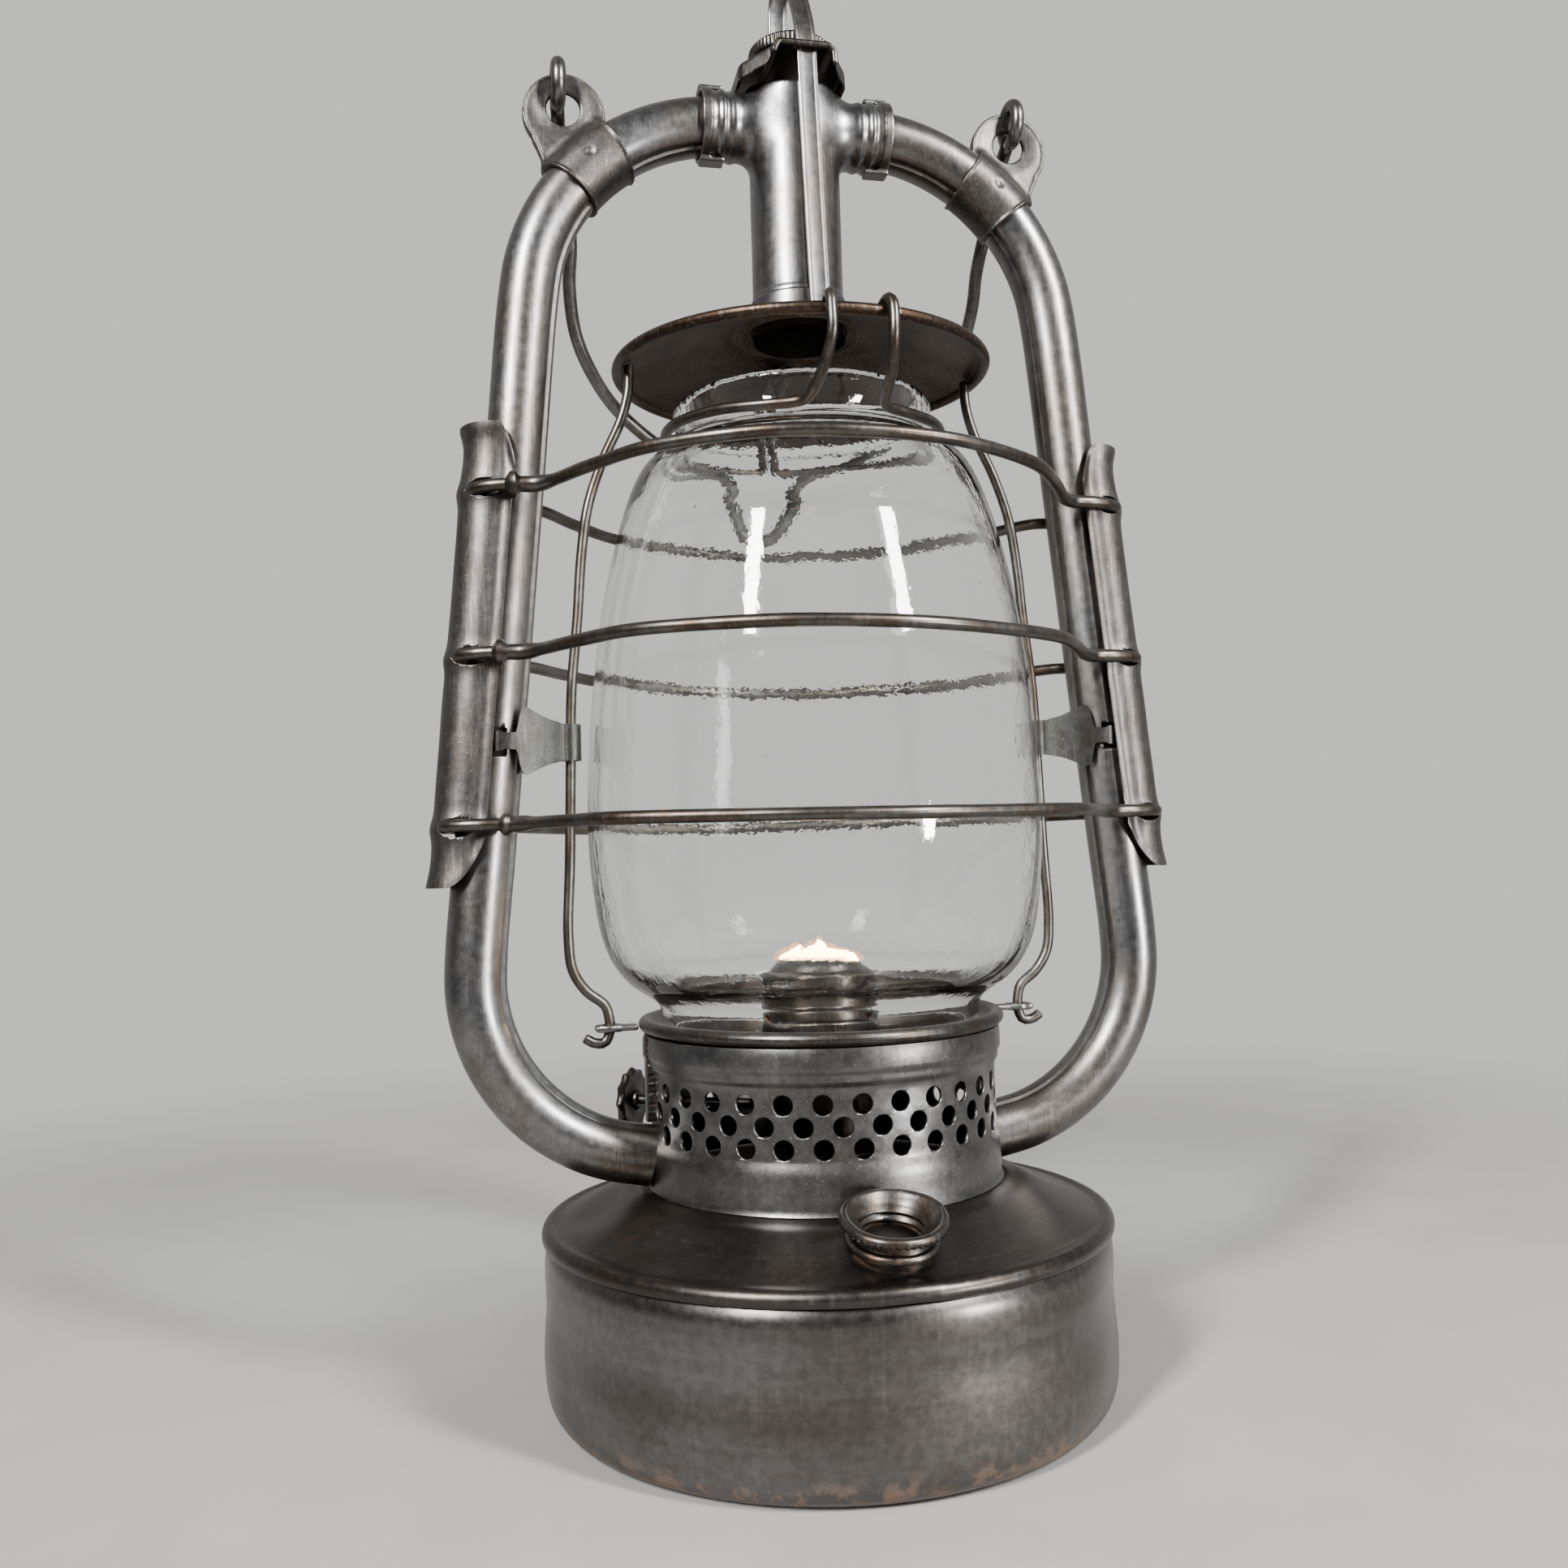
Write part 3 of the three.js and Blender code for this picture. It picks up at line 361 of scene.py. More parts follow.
def surface_net(field, low, high, cell):
    """The closed surface where field(x, y, z) = 0, found on a grid and then drawn onto the
    exact surface along the field's slope."""
    low, high = np.array(low, float), np.array(high, float)
    axes = [np.arange(a - cell, b + 2 * cell, cell) for a, b in zip(low, high)]
    value = field(*np.meshgrid(*axes, indexing="ij"))
    cells = np.array(value.shape) - 1
    total = np.zeros((*cells, 3))
    hits = np.zeros(cells)
    edges = []
    for axis in range(3):
        near = np.take(value, range(cells[axis]), axis=axis)
        far = np.take(value, range(1, cells[axis] + 1), axis=axis)
        crossing = (near < 0) != (far < 0)
        share = np.where(crossing, near / np.where(crossing, near - far, 1), 0)
        others = [a for a in range(3) if a != axis]
        for shift_a in (0, 1):
            for shift_b in (0, 1):
                cut = [slice(None)] * 3
                cut[others[0]] = slice(shift_a, shift_a + cells[others[0]])
                cut[others[1]] = slice(shift_b, shift_b + cells[others[1]])
                hit = crossing[tuple(cut)]
                hits += hit
                total[..., axis] += share[tuple(cut)] * hit
                total[..., others[0]] += shift_a * hit
                total[..., others[1]] += shift_b * hit
        edges.append((axis, others, np.argwhere(crossing), near))
    used = hits > 0
    number = np.full(cells, -1)
    number[used] = np.arange(used.sum())
    corner = np.argwhere(used)
    start = np.array([a[0] for a in axes])
    vertices = start + cell * (corner + total[used] / hits[used][:, None])
    faces = []
    for axis, others, places, near in edges:
        inner = (places[:, others[0]] > 0) & (places[:, others[1]] > 0)
        inner &= (places[:, others[0]] < cells[others[0]]) & (places[:, others[1]] < cells[others[1]])
        places = places[inner]
        ring = []
        for shift_a, shift_b in ((1, 1), (0, 1), (0, 0), (1, 0)):
            at = places.copy()
            at[:, others[0]] -= shift_a
            at[:, others[1]] -= shift_b
            ring.append(number[at[:, 0], at[:, 1], at[:, 2]])
        quads = np.stack(ring, axis=1)
        outward = (near[tuple(places.T)] < 0) ^ (axis == 1)
        faces += np.where(outward[:, None], quads, quads[:, ::-1]).tolist()
    nudge = cell * 0.1
    for _ in range(4):
        x, y, z = vertices.T
        here = field(x, y, z)
        slope = np.stack([
            field(x + nudge, y, z) - field(x - nudge, y, z),
            field(x, y + nudge, z) - field(x, y - nudge, z),
            field(x, y, z + nudge) - field(x, y, z - nudge),
        ], axis=1) / (2 * nudge)
        steep = np.maximum((slope ** 2).sum(axis=1), 0.25)
        move = slope * (here / steep)[:, None]
        reach = np.maximum(np.linalg.norm(move, axis=1) / (0.5 * cell), 1)
        vertices = vertices - move / reach[:, None]
    return vertices, faces


def blend_min(a, b, k):
    """The smaller of two distances, with the joint between them rounded by about k."""
    h = np.clip(0.5 + 0.5 * (b - a) / k, 0, 1)
    return b * (1 - h) + a * h - k * h * (1 - h)


def blend_max(a, b, k):
    return -blend_min(-a, -b, k)


def box_distance(x, y, z, centre, half, rounding=0.3):
    d = [np.abs(v - c) - h + rounding for v, c, h in zip((x, y, z), centre, half)]
    outside = np.sqrt(sum(np.maximum(v, 0) ** 2 for v in d))
    return outside + np.minimum(np.maximum(np.maximum(d[0], d[1]), d[2]), 0) - rounding


def moved(shape, matrix):
    vertices, faces = shape
    m = np.array(matrix)
    return vertices @ m[:3, :3].T + m[:3, 3], faces


def mirrored(shape):
    vertices, faces = shape
    return vertices * np.array([-1, 1, 1]), [face[::-1] for face in faces]


def joined(*shapes):
    vertices, faces = [], []
    offset = 0
    for v, f in shapes:
        vertices.append(np.array(v, float))
        faces += [[i + offset for i in face] for face in f]
        offset += len(v)
    return np.vstack(vertices), faces


def shift(x=0, y=0, z=0):
    return Matrix.Translation((x, y, z))


def turn(angle, axis="Z"):
    return Matrix.Rotation(angle, 4, axis)


# ------------------------------------------------------------------ materials


RUST = (0.12, 0.055, 0.026)
UNROLLED_RADIUS = 0.07  # in metres, about that of the tank


def grey(level):
    return (level, level, level)


class Shading:
    """The node tree of a material or a world, and short ways to add to it."""

    def __init__(self, block):
        block.use_nodes = True
        self.block = block
        self.nodes, self.links = block.node_tree.nodes, block.node_tree.links

    def put(self, socket, value):
        if isinstance(value, bpy.types.NodeSocket):
            self.links.new(value, socket)
        else:
            socket.default_value = value

    def add(self, kind, inputs=(), **settings):
        node = self.nodes.new("ShaderNode" + kind)
        for key, value in settings.items():
            setattr(node, key, value)
        for key, value in dict(inputs).items():
            self.put(node.inputs[key], value)
        return node

    def maths(self, operation, a, b=0.0, clamp=False):
        return self.add("Math", {0: a, 1: b}, operation=operation, use_clamp=clamp).outputs[0]

    def times(self, a, b):
        return self.maths("MULTIPLY", a, b)

    def plus(self, a, b, clamp=False):
        return self.maths("ADD", a, b, clamp)

    def ramp(self, value, low, high, bottom=0.0, top=1.0):
        inputs = {"Value": value, "From Min": low, "From Max": high, "To Min": bottom, "To Max": top}
        return self.add("MapRange", inputs, interpolation_type="SMOOTHSTEP").outputs["Result"]

    def blend(self, share, first, second, output):
        """Sends one shader to the output, and more of the other where share is high."""
        mixer = self.add("MixShader", {0: share, 1: first, 2: second})
        self.put(self.nodes[output].inputs["Surface"], mixer.outputs[0])


class Paint(Shading):
    """A material being put together."""

    def __init__(self, name):
        super().__init__(bpy.data.materials.new(name))
        self.shader = self.nodes["Principled BSDF"]
        self.where = self.add("TexCoord").outputs["Object"]

    def set(self, **inputs):
        """Sets the shader's sockets, written with _ for the spaces in their names."""
        for key, value in inputs.items():
            self.put(self.shader.inputs[key.replace("_", " ")], value)

    def noise(self, size, detail=4.0, stretch=(1, 1, 1), rough=0.55, where=None):
        """Noise with features of about that size in millimetres, longer where stretch is."""
        scale = [1 / (size * MM * s) for s in stretch]
        mapping = self.add("Mapping", {"Scale": scale, "Vector": where or self.where})
        inputs = {"Scale": 1.0, "Detail": detail, "Roughness": rough, "Vector": mapping.outputs[0]}
        return self.add("TexNoise", inputs).outputs["Fac"]

    def unrolled(self):
        """Places as if a round piece were rolled out flat: round it, out from it, and up it. The
        ends meet at the back."""
        x, y, z = self.split()
        angle = self.maths("ARCTAN2", x, self.times(y, -1.0))
        radius = self.maths("SQRT", self.plus(self.times(x, x), self.times(y, y)))
        join = self.add("CombineXYZ", {0: self.times(angle, UNROLLED_RADIUS), 1: radius, 2: z})
        return join.outputs[0]

    def split(self):
        return self.add("SeparateXYZ", {0: self.where}).outputs

    def mix(self, share, a, b, how="MIX"):
        a, b = (v if isinstance(v, bpy.types.NodeSocket) else (*v, 1.0) for v in (a, b))
        inputs = {"Factor": share, 6: a, 7: b}
        return self.add("Mix", inputs, data_type="RGBA", blend_type=how).outputs[2]

    def crevice(self, reach):
        """Near 1 where two surfaces come closer than reach millimetres, and 0 in the open."""
        node = self.add("AmbientOcclusion", {"Distance": reach * MM}, samples=6)
        return self.maths("SUBTRACT", 1.0, node.outputs["AO"], clamp=True)

    def bump(self, height, distance, strength=1.0, below=None):
        node = self.add("Bump", {"Distance": distance * MM, "Strength": strength, "Height": height})
        if below:
            self.put(node.inputs["Normal"], below)
        return node.outputs["Normal"]


def steel(name, cool, warm, rust=RUST, rough=0.36, patch=22, rusting=0.4, grain=1.0,
          round_piece=False, foot=False, wear=0.22, zones=False):
    """Bare worn steel. Cool and warm greys drift into each other over the patch size, with fine
    grain, pinprick wear, scratches, darkening in the recesses that is black oxide and painted
    shade, and brown where two surfaces meet. A round piece is brushed up and round, zones are
    broad rings of tone, and a foot is rusty near the floor."""
    paint = Paint(name)
    where = paint.unrolled() if round_piece else paint.where
    drift = paint.noise(patch, 4, (2.2, 2.2, 1) if round_piece else (1, 1, 1), 0.6, where)
    mottle = paint.noise(2.4, 5, rough=0.65)
    colour = paint.mix(paint.ramp(drift, 0.40, 0.62), cool, warm)
    darker = paint.mix(paint.ramp(mottle, 0.34, 0.66), grey(0.86), grey(1.08))
    colour = paint.mix(1.0, colour, darker, "MULTIPLY")
    if zones:
        zone = paint.noise(15, 3, (40, 1, 1), 0.6, where)
        rings = paint.mix(paint.ramp(zone, 0.36, 0.60), (0.72, 0.69, 0.65), (1.10, 1.11, 1.13))
        colour = paint.mix(0.9, colour, rings, "MULTIPLY")
    if round_piece:
        uprights = paint.noise(1.7, 4, (1, 1, 22), 0.6, where)
        hoops = paint.noise(1.1, 4, (40, 1, 1), 0.6, where)
        scratch = paint.plus(paint.times(uprights, 0.6), paint.times(hoops, 0.4))
    else:
        scratch = paint.noise(0.6, 3, (1, 1, 24), 0.6, where)
    bright = paint.ramp(scratch, 0.52, 0.72)
    colour = paint.mix(paint.times(bright, wear), colour, (0.42, 0.415, 0.41))
    pinprick = paint.ramp(paint.noise(0.45, 2), 0.64, 0.74, 0.0, 0.26 * grain)
    colour = paint.mix(pinprick, colour, (0.50, 0.49, 0.48))
    # Darker where another surface is within 9 mm: the black oxide in the recesses, with painted shade
    # there as well.
    hollow = paint.ramp(paint.crevice(9.0), 0.18, 0.75, 0.0, 0.62)
    hollow = paint.times(hollow, paint.ramp(mottle, 0.3, 0.6, 0.7, 1.0))
    colour = paint.mix(hollow, colour, (0.030, 0.026, 0.023))
    stain = paint.noise(5.0, 6, rough=0.7)
    seam = paint.ramp(paint.crevice(2.5), 0.3, 0.85)
    rusty = paint.times(seam, paint.ramp(stain, 0.38, 0.62))
    blotch = paint.ramp(paint.noise(11, 6, rough=0.72), 0.56, 0.72, 0.0, rusting)
    rusty = paint.maths("MAXIMUM", rusty, blotch)
    if foot:
        near_floor = paint.ramp(paint.split()["Z"], 0.001, 0.012, 1.0, 0.0)
        worn = paint.times(near_floor, paint.ramp(stain, 0.42, 0.6))
        rusty = paint.maths("MAXIMUM", rusty, worn)
    rusty = paint.times(rusty, 0.75)
    paint.set(Base_Color=paint.mix(rusty, colour, rust))
    paint.set(Metallic=paint.ramp(rusty, 0.1, 0.75, 1.0, 0.5))
    uneven = paint.times(paint.maths("SUBTRACT", mottle, 0.5), 0.16)
    uneven = paint.plus(uneven, paint.times(paint.maths("SUBTRACT", drift, 0.5), 0.25))
    uneven = paint.plus(uneven, paint.times(rusty, 0.25))
    paint.set(Roughness=paint.plus(uneven, rough, clamp=True))
    grains = paint.bump(paint.noise(0.42, 2), 0.018 * grain, 0.6)
    lines = paint.bump(scratch, 0.02, 0.35, grains)
    paint.set(Normal=paint.bump(paint.noise(3.6, 3), 0.07, 0.5, lines))
    return paint.block


def clear_glass():
    """Old blown glass: smooth, faintly green, and with slow waves in its surface. It lets the
    lamps' light through."""
    paint = Paint("old_glass")
    paint.set(Base_Color=(0.975, 0.99, 0.982, 1), Roughness=0.0, IOR=1.47, Transmission_Weight=1.0)
    waves = paint.noise(16, 2, stretch=(1, 1, 2.2))
    seeds = paint.noise(3.0, 2, stretch=(1, 1, 1.6))
    ripples = paint.bump(seeds, 0.035, 1.0, paint.bump(waves, 0.13, 1.0))
    paint.set(Normal=paint.bump(paint.noise(1.1, 1), 0.012, 1.0, ripples))
    clear = paint.add("BsdfTransparent", {"Color": (0.93, 0.95, 0.94, 1)})
    shadow = paint.add("LightPath").outputs["Is Shadow Ray"]
    paint.blend(shadow, paint.shader.outputs[0], clear.outputs[0], "Material Output")
    return paint.block


def woven_cotton():
    """Flat woven wick, cream below and charred at its top edge."""
    paint = Paint("wick_cotton")
    ribs = paint.noise(0.7, 2, stretch=(1, 1, 6))
    cross = paint.noise(0.6, 2, stretch=(5, 5, 1))
    weave = paint.plus(ribs, cross)
    charred = paint.ramp(paint.split()["Z"], 0.1035, 0.106)
    cream = paint.mix(paint.ramp(weave, 0.8, 1.2), (0.55, 0.47, 0.34), (0.80, 0.74, 0.62))
    paint.set(Base_Color=paint.mix(charred, cream, (0.012, 0.010, 0.009)), Roughness=0.95)
    paint.set(Normal=paint.bump(weave, 0.25, 0.9))
    return paint.block


def glowing(name, colour, strength):
    paint = Paint(name)
    paint.set(Base_Color=(*colour, 1), Emission_Color=(*colour, 1), Emission_Strength=strength)
    return paint.block


def fire_glow():
    """Thin orange air round the flame."""
    paint = Paint("fire_glow")
    paint.set(Base_Color=(0, 0, 0, 1), Emission_Color=(1.0, 0.34, 0.08, 1), Emission_Strength=5.0,
              Specular_IOR_Level=0.0, Alpha=0.09)
    return paint.block


def pale_floor():
    """A plain grey that fades into the room behind, away from the lantern."""
    paint = Paint("pale_floor")
    tone = paint.ramp(paint.noise(60, 5), 0.3, 0.7)
    paint.set(Base_Color=paint.mix(tone, (0.245, 0.243, 0.238), (0.265, 0.262, 0.257)), Roughness=0.8)
    distance = paint.add("VectorMath", {0: paint.where}, operation="LENGTH").outputs["Value"]
    clear = paint.add("BsdfTransparent")
    paint.blend(paint.ramp(distance, 0.22, 0.75), paint.shader.outputs[0], clear.outputs[0],
                "Material Output")
    return paint.block


STEELS = {
    "burnished_steel": dict(cool=(0.170, 0.170, 0.173), warm=(0.132, 0.121, 0.109), rough=0.33,
                            patch=26, rusting=0.15),
    "shield_steel": dict(cool=(0.092, 0.091, 0.090), warm=(0.068, 0.061, 0.054), rough=0.43,
                         patch=18, rusting=0.14, grain=1.5, wear=0.14),
    "tank_steel": dict(cool=(0.128, 0.128, 0.129), warm=(0.098, 0.092, 0.085),
                       rust=(0.13, 0.070, 0.034), rough=0.31, patch=42, rusting=0.06, grain=0.3,
                       round_piece=True, foot=True, wear=0.10, zones=True),
    "band_steel": dict(cool=(0.130, 0.130, 0.132), warm=(0.090, 0.087, 0.083), rough=0.33,
                       patch=20, rusting=0.08, grain=1.8, round_piece=True, wear=0.12),
    "deck_steel": dict(cool=(0.058, 0.055, 0.052), warm=(0.048, 0.040, 0.033),
                       rust=(0.12, 0.060, 0.028), rough=0.35, patch=20, rusting=0.3, grain=0.5,
                       round_piece=True, wear=0.14),
    "dark_steel": dict(cool=(0.072, 0.068, 0.064), warm=(0.046, 0.038, 0.032), rough=0.34,
                       patch=16, rusting=0.3),
    "plate_steel": dict(cool=(0.070, 0.067, 0.064), warm=(0.048, 0.038, 0.031), patch=14,
                        rusting=0.25, wear=0.1),
    "wire_steel": dict(cool=(0.092, 0.085, 0.078), warm=(0.060, 0.044, 0.034), patch=14,
                       rusting=0.35, grain=0.6, wear=0.1),
    "bail_steel": dict(cool=(0.15, 0.147, 0.143), warm=(0.095, 0.085, 0.075), rough=0.33,
                       patch=14, rusting=0.1, grain=0.6),
    "clip_steel": dict(cool=(0.045, 0.045, 0.044), warm=(0.034, 0.031, 0.028), rough=0.42,
                       patch=9, rusting=0.1, grain=0.7, wear=0.06),
    "hood_steel": dict(cool=(0.054, 0.036, 0.025), warm=(0.036, 0.022, 0.015),
                       rust=(0.075, 0.036, 0.018), rough=0.42, patch=14, rusting=0.35, grain=0.6),
    "rusted_steel": dict(cool=(0.080, 0.077, 0.073), warm=(0.058, 0.043, 0.032),
                         rust=(0.15, 0.066, 0.028), patch=7, rusting=0.5, wear=0.12),
    "burner_steel": dict(cool=(0.038, 0.034, 0.031), warm=(0.026, 0.019, 0.015), rough=0.34,
                         patch=9, rusting=0.25, wear=0.08),
}
FINISHES = {name: steel(name, **look) for name, look in STEELS.items()}
FINISHES |= {"glass": clear_glass(), "cotton": woven_cotton()}


# ------------------------------------------------------------------ making the pieces


def mesh_object(name, shape, material, sharp=38):
    """An object from a shape in millimetres, smooth but for edges sharper than that angle."""
    vertices, faces = shape
    mesh = bpy.data.meshes.new(name)
    mesh.from_pydata((np.asarray(vertices, float) * MM).tolist(), [], faces)
    b = bmesh.new()
    b.from_mesh(mesh)
    bmesh.ops.remove_doubles(b, verts=b.verts, dist=0.004 * MM)
    bmesh.ops.recalc_face_normals(b, faces=b.faces)
    for face in b.faces:
        face.smooth = True
    for edge in b.edges:
        edge.smooth = len(edge.link_faces) == 2 and edge.calc_face_angle(0) < math.radians(sharp)
    b.to_mesh(mesh)
    b.free()
    mesh.materials.append(material)
    piece = bpy.data.objects.new(name, mesh)
    bpy.context.scene.collection.objects.link(piece)
    return piece


def piece(name, shape, nodes, slot, finish=None, sharp=38, cutters=()):
    """Makes a fine piece that stands for CAD nodes and moves with their body."""
    made = mesh_object(name, shape, FINISHES[finish or slot], sharp)
    for cutter in cutters:
        cut_away(made, cutter)
    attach(made, frame["nodes"][nodes[0]]["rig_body"])
    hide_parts(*nodes)
    return made


def extra(name, shape, body, slot, finish, sharp=38):
    """Makes a piece that stands for no CAD node of its own."""
    made = mesh_object(name, shape, FINISHES[finish], sharp)
    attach(made, body)


def pair(name, shape, slot, finish=None, sharp=38, cutters=(), also=()):
    """The right-hand piece, and its mirror image on the left."""
    for side in ("right", "left"):
        flip = mirrored if side == "left" else (lambda s: s)
        nodes = [f"{node}_{side}" for node in (name, *also)]
        piece(f"{name}_fine_{side}", flip(shape), nodes, slot, finish, sharp,
              [flip(cutter) for cutter in cutters])


def cut_away(made, cutter_shape):
    """Takes a closed shape out of a piece, and keeps the result as plain mesh."""
    cutter = mesh_object("cutter", cutter_shape, made.data.materials[0], 60)
    modifier = made.modifiers.new("cut", "BOOLEAN")
    modifier.object = cutter
    modifier.operation = "DIFFERENCE"
    modifier.solver = "EXACT"
    graph = bpy.context.evaluated_depsgraph_get()
    result = bpy.data.meshes.new_from_object(made.evaluated_get(graph))
    made.modifiers.clear()
    old = made.data
    made.data = result
    bpy.data.meshes.remove(old)
    bpy.data.objects.remove(cutter)


# ------------------------------------------------------------------ tank and filler


def tank_body():
    """A drum with a slight waist and a rolled foot."""
    r = TANK_RADIUS
    side = smooth_path([
        (0, 3.4), (30, 3.4), (56, 3.3), (60.5, 2.3), (63, 0.7), (65.5, 0.15), (68, 0.25),
        (70.6, 1.4), (72.7, 4.2), (73.7, 8.2), (r - 0.1, 14), (r - 0.3, 20), (r - 0.75, 28),
        (r - 0.45, 34), (r - 0.5, 38.5), (r - 0.9, 41.2), (r - 1.6, TANK_SEAM_Z),
    ], 1.4)

    def dents(radius, height, angle):
        x, y = radius * np.cos(angle), radius * np.sin(angle)
        wall = ease(height, 6, 14) * ease(radius, 60, 70)
        soft = 0.5 + 0.5 * ripple(x, y, height, 34, 11)
        ring = 0.5 + 0.5 * ripple(0 * x, 0 * y, height, 7, 5)
        return radius - wall * (0.35 * soft + 0.06 * ring), height

    return lathe(thick(side, SHEET), 192, dents)


def tank_top():
    """A shallow cone with a rolled rim, sunk a little below each side tube."""
    side = smooth_path([
        (72.4, 43.15), (73.6, 43.2), (74.15, 43.9), (74.25, 44.9), (73.9, 46.1), (73.0, 46.95),
        (71.8, 47.15), (70.8, 46.9), (69.8, 47.1), (67.5, 48.1), (63, 50.2), (58.5, 52.2),
        (54.4, 54.0), (52.6, 54.55), (50.2, 54.75), (49.0, 55.0), (48.3, 55.3), (47.4, 55.35),
        (44, 55.3), (30, 55.3), (19.2, 55.3),
    ], 0.8)

    def dents(radius, height, angle):
        x, y = radius * np.cos(angle), radius * np.sin(angle)
        slope = bump_at(radius, 60, 7.5)
        under_tube = bump_at(np.abs(y), 0, 15)
        height = height - slope * (1.3 * under_tube + 0.22 + 0.22 * ripple(x, y, height, 26, 3))
        collar = np.hypot(x - FILLER_X, y - FILLER_Y - 0.5)
        height = height + 0.9 * np.exp(-((collar / 12.6) ** 6)) * ease(radius, 49, 53)
        return radius, height

    return lathe(thick(side, SHEET), 256, dents)


def filler_neck():
    """A double roll: a low bead, and a flared lip with a notched underside, threaded inside."""
    outside = [(9.0, -2.6), (9.1, -1.0), (9.0, 0.6)]
    bead = arc((9.5, 1.7), 1.15, -70, 115, 8)
    waist = [(8.6, 3.6), (8.5, 4.1), (8.8, 4.6), (9.7, 5.1)]
    lip = arc((11.0, 6.7), 1.25, -80, 150, 10)
    inside = [(9.3, 6.7), (8.5, 6.1), (8.1, 5.4), (7.75, 4.8)] + [
        (7.5, 4.6 - 0.35 * i) for i in range(1, 21)]
    profile = outside + bead + waist + lip + inside

    def shape(radius, height, angle):
        thread = np.sin(TAU * (height / FILLER_THREAD_PITCH) - angle)
        inner = (radius < 7.6) & (height < 4.7)
        radius = radius + np.where(inner, 0.38 * thread, 0)
        lower_lip = bump_at(height, 5.7, 0.7) * ease(radius, 10.2, 11.4)
        wave = np.sin(FILLER_NOTCHES * angle)
        radius = radius + 0.34 * lower_lip * np.sign(wave) * np.abs(wave) ** 0.5
        wobble = 0.16 * np.sin(2 * angle + 0.7) + 0.07 * np.sin(5 * angle)
        return radius + wobble * ease(radius, 8.7, 10), height + 0.12 * np.sin(3 * angle + 1)

    place = shift(FILLER_X, FILLER_Y, FILLER_Z) @ turn(FILLER_TILT, "X")
    return moved(lathe(profile, 184, shape), place)


# ------------------------------------------------------------------ air band


BAND_LINE = np.array([
    (BAND_BOTTOM_Z, 46.8), (56.1, 46.5), (57.2, 46.35), (60, 46.3), (63.6, 46.25), (64.8, 46.15),
    (65.8, 45.95), (66.8, 45.7), (67.5, 45.5), (68.0, BAND_RADIUS), (83.6, BAND_RADIUS),
    (84.6, 45.45), (85.4, 45.75), (86.1, 46.25), (86.8, 46.45), (87.5, 46.4), (88.2, 46.6),
    (88.9, 47.0), (89.6, 47.1), (93.2, 47.05), (BAND_TOP_Z, 46.8),
])


def band_radius(z):
    return np.interp(z, BAND_LINE[:, 0], BAND_LINE[:, 1])


def vent_missing(angle, row):
    """No hole where a side tube enters, nor where the wick shaft does."""
    beside_tube = abs(math.sin(angle)) < 0.21 and row == 0
    beside_shaft = abs(angle % TAU - SHAFT_HOLE_ANGLE) < 0.13
    return beside_tube or beside_shaft


def air_band():
    """A sheet unrolled as angle and height: plain rings of quads above and below three rows of
    square cells, each with a round hole whose rim turns in."""
    step = TAU / VENTS_PER_ROW
    cell_height = VENT_ROWS_Z[1] - VENT_ROWS_Z[0]
    vertices, faces = [], []

    def add(angle, z, depth):
        r = band_radius(z) - depth
        vertices.append((r * math.cos(angle), r * math.sin(angle), z))
        return len(vertices) - 1

    def ring(points, depth):
        return [add(a, z, depth) for a, z in points]

    def bridge(first, second):
        for i in range(len(first)):
            j = (i + 1) % len(first)
            faces.append([first[i], first[j], second[j], second[i]])

    across = 8
    half, quarter = across // 2, across // 4
    first_cell = VENT_ROWS_Z[0] - cell_height / 2
    last_cell = VENT_ROWS_Z[-1] + cell_height / 2
    below = [z for z in BAND_LINE[:, 0] if z < first_cell] + [first_cell]
    above = [last_cell] + [z for z in BAND_LINE[:, 0] if z > last_cell + 0.1]
    base_angles = [(VENT_PHASE + i / across) * step for i in range(VENTS_PER_ROW * across)]
    for heights, edge in ((below, below[0]), (above, above[-1])):
        for depth in (0, SHEET):
            rows = [ring([(a, z) for a in base_angles], depth) for z in heights]
            for low_row, high_row in zip(rows, rows[1:]):
                bridge(low_row, high_row)
        bridge(*(ring([(a, edge) for a in base_angles], depth) for depth in (0, SHEET)))
    corners = [(-half, -quarter), (half, -quarter), (half, quarter), (-half, quarter)]
    border = []
    for (x0, y0), (x1, y1) in zip(corners, corners[1:] + corners[:1]):
        count = max(abs(x1 - x0), abs(y1 - y0))
        border += [(x0 + (x1 - x0) * k / count, y0 + (y1 - y0) * k / count) for k in range(count)]
    border = [(x / across * step, y / half * cell_height) for x, y in border]
    turns = [math.atan2(y, x * BAND_RADIUS) for x, y in border]
    for row, row_z in enumerate(VENT_ROWS_Z):
        for i in range(VENTS_PER_ROW):
            middle = (i + VENT_PHASE + (row % 2) / 2) * step

            def hole(radius, depth):
                return ring([(middle + radius * math.cos(t) / BAND_RADIUS,
                              row_z + radius * math.sin(t)) for t in turns], depth)

            square = [(middle + x, row_z + y) for x, y in border]
            outer, inner = (ring(square, depth) for depth in (0, SHEET))
            if vent_missing(middle, row):
                for rim, depth in ((outer, 0), (inner, SHEET)):
                    centre = add(middle, row_z, depth)
                    faces.extend([a, b, centre] for a, b in zip(rim, rim[1:] + rim[:1]))
                continue
            chain = [outer, hole(VENT_RADIUS + 0.14, 0.03), hole(VENT_RADIUS + 0.03, 0.14),
                     hole(VENT_RADIUS, 0.35), hole(VENT_RADIUS, SHEET), inner]
            for a, b in zip(chain, chain[1:]):
                bridge(a, b)
    return vertices, faces


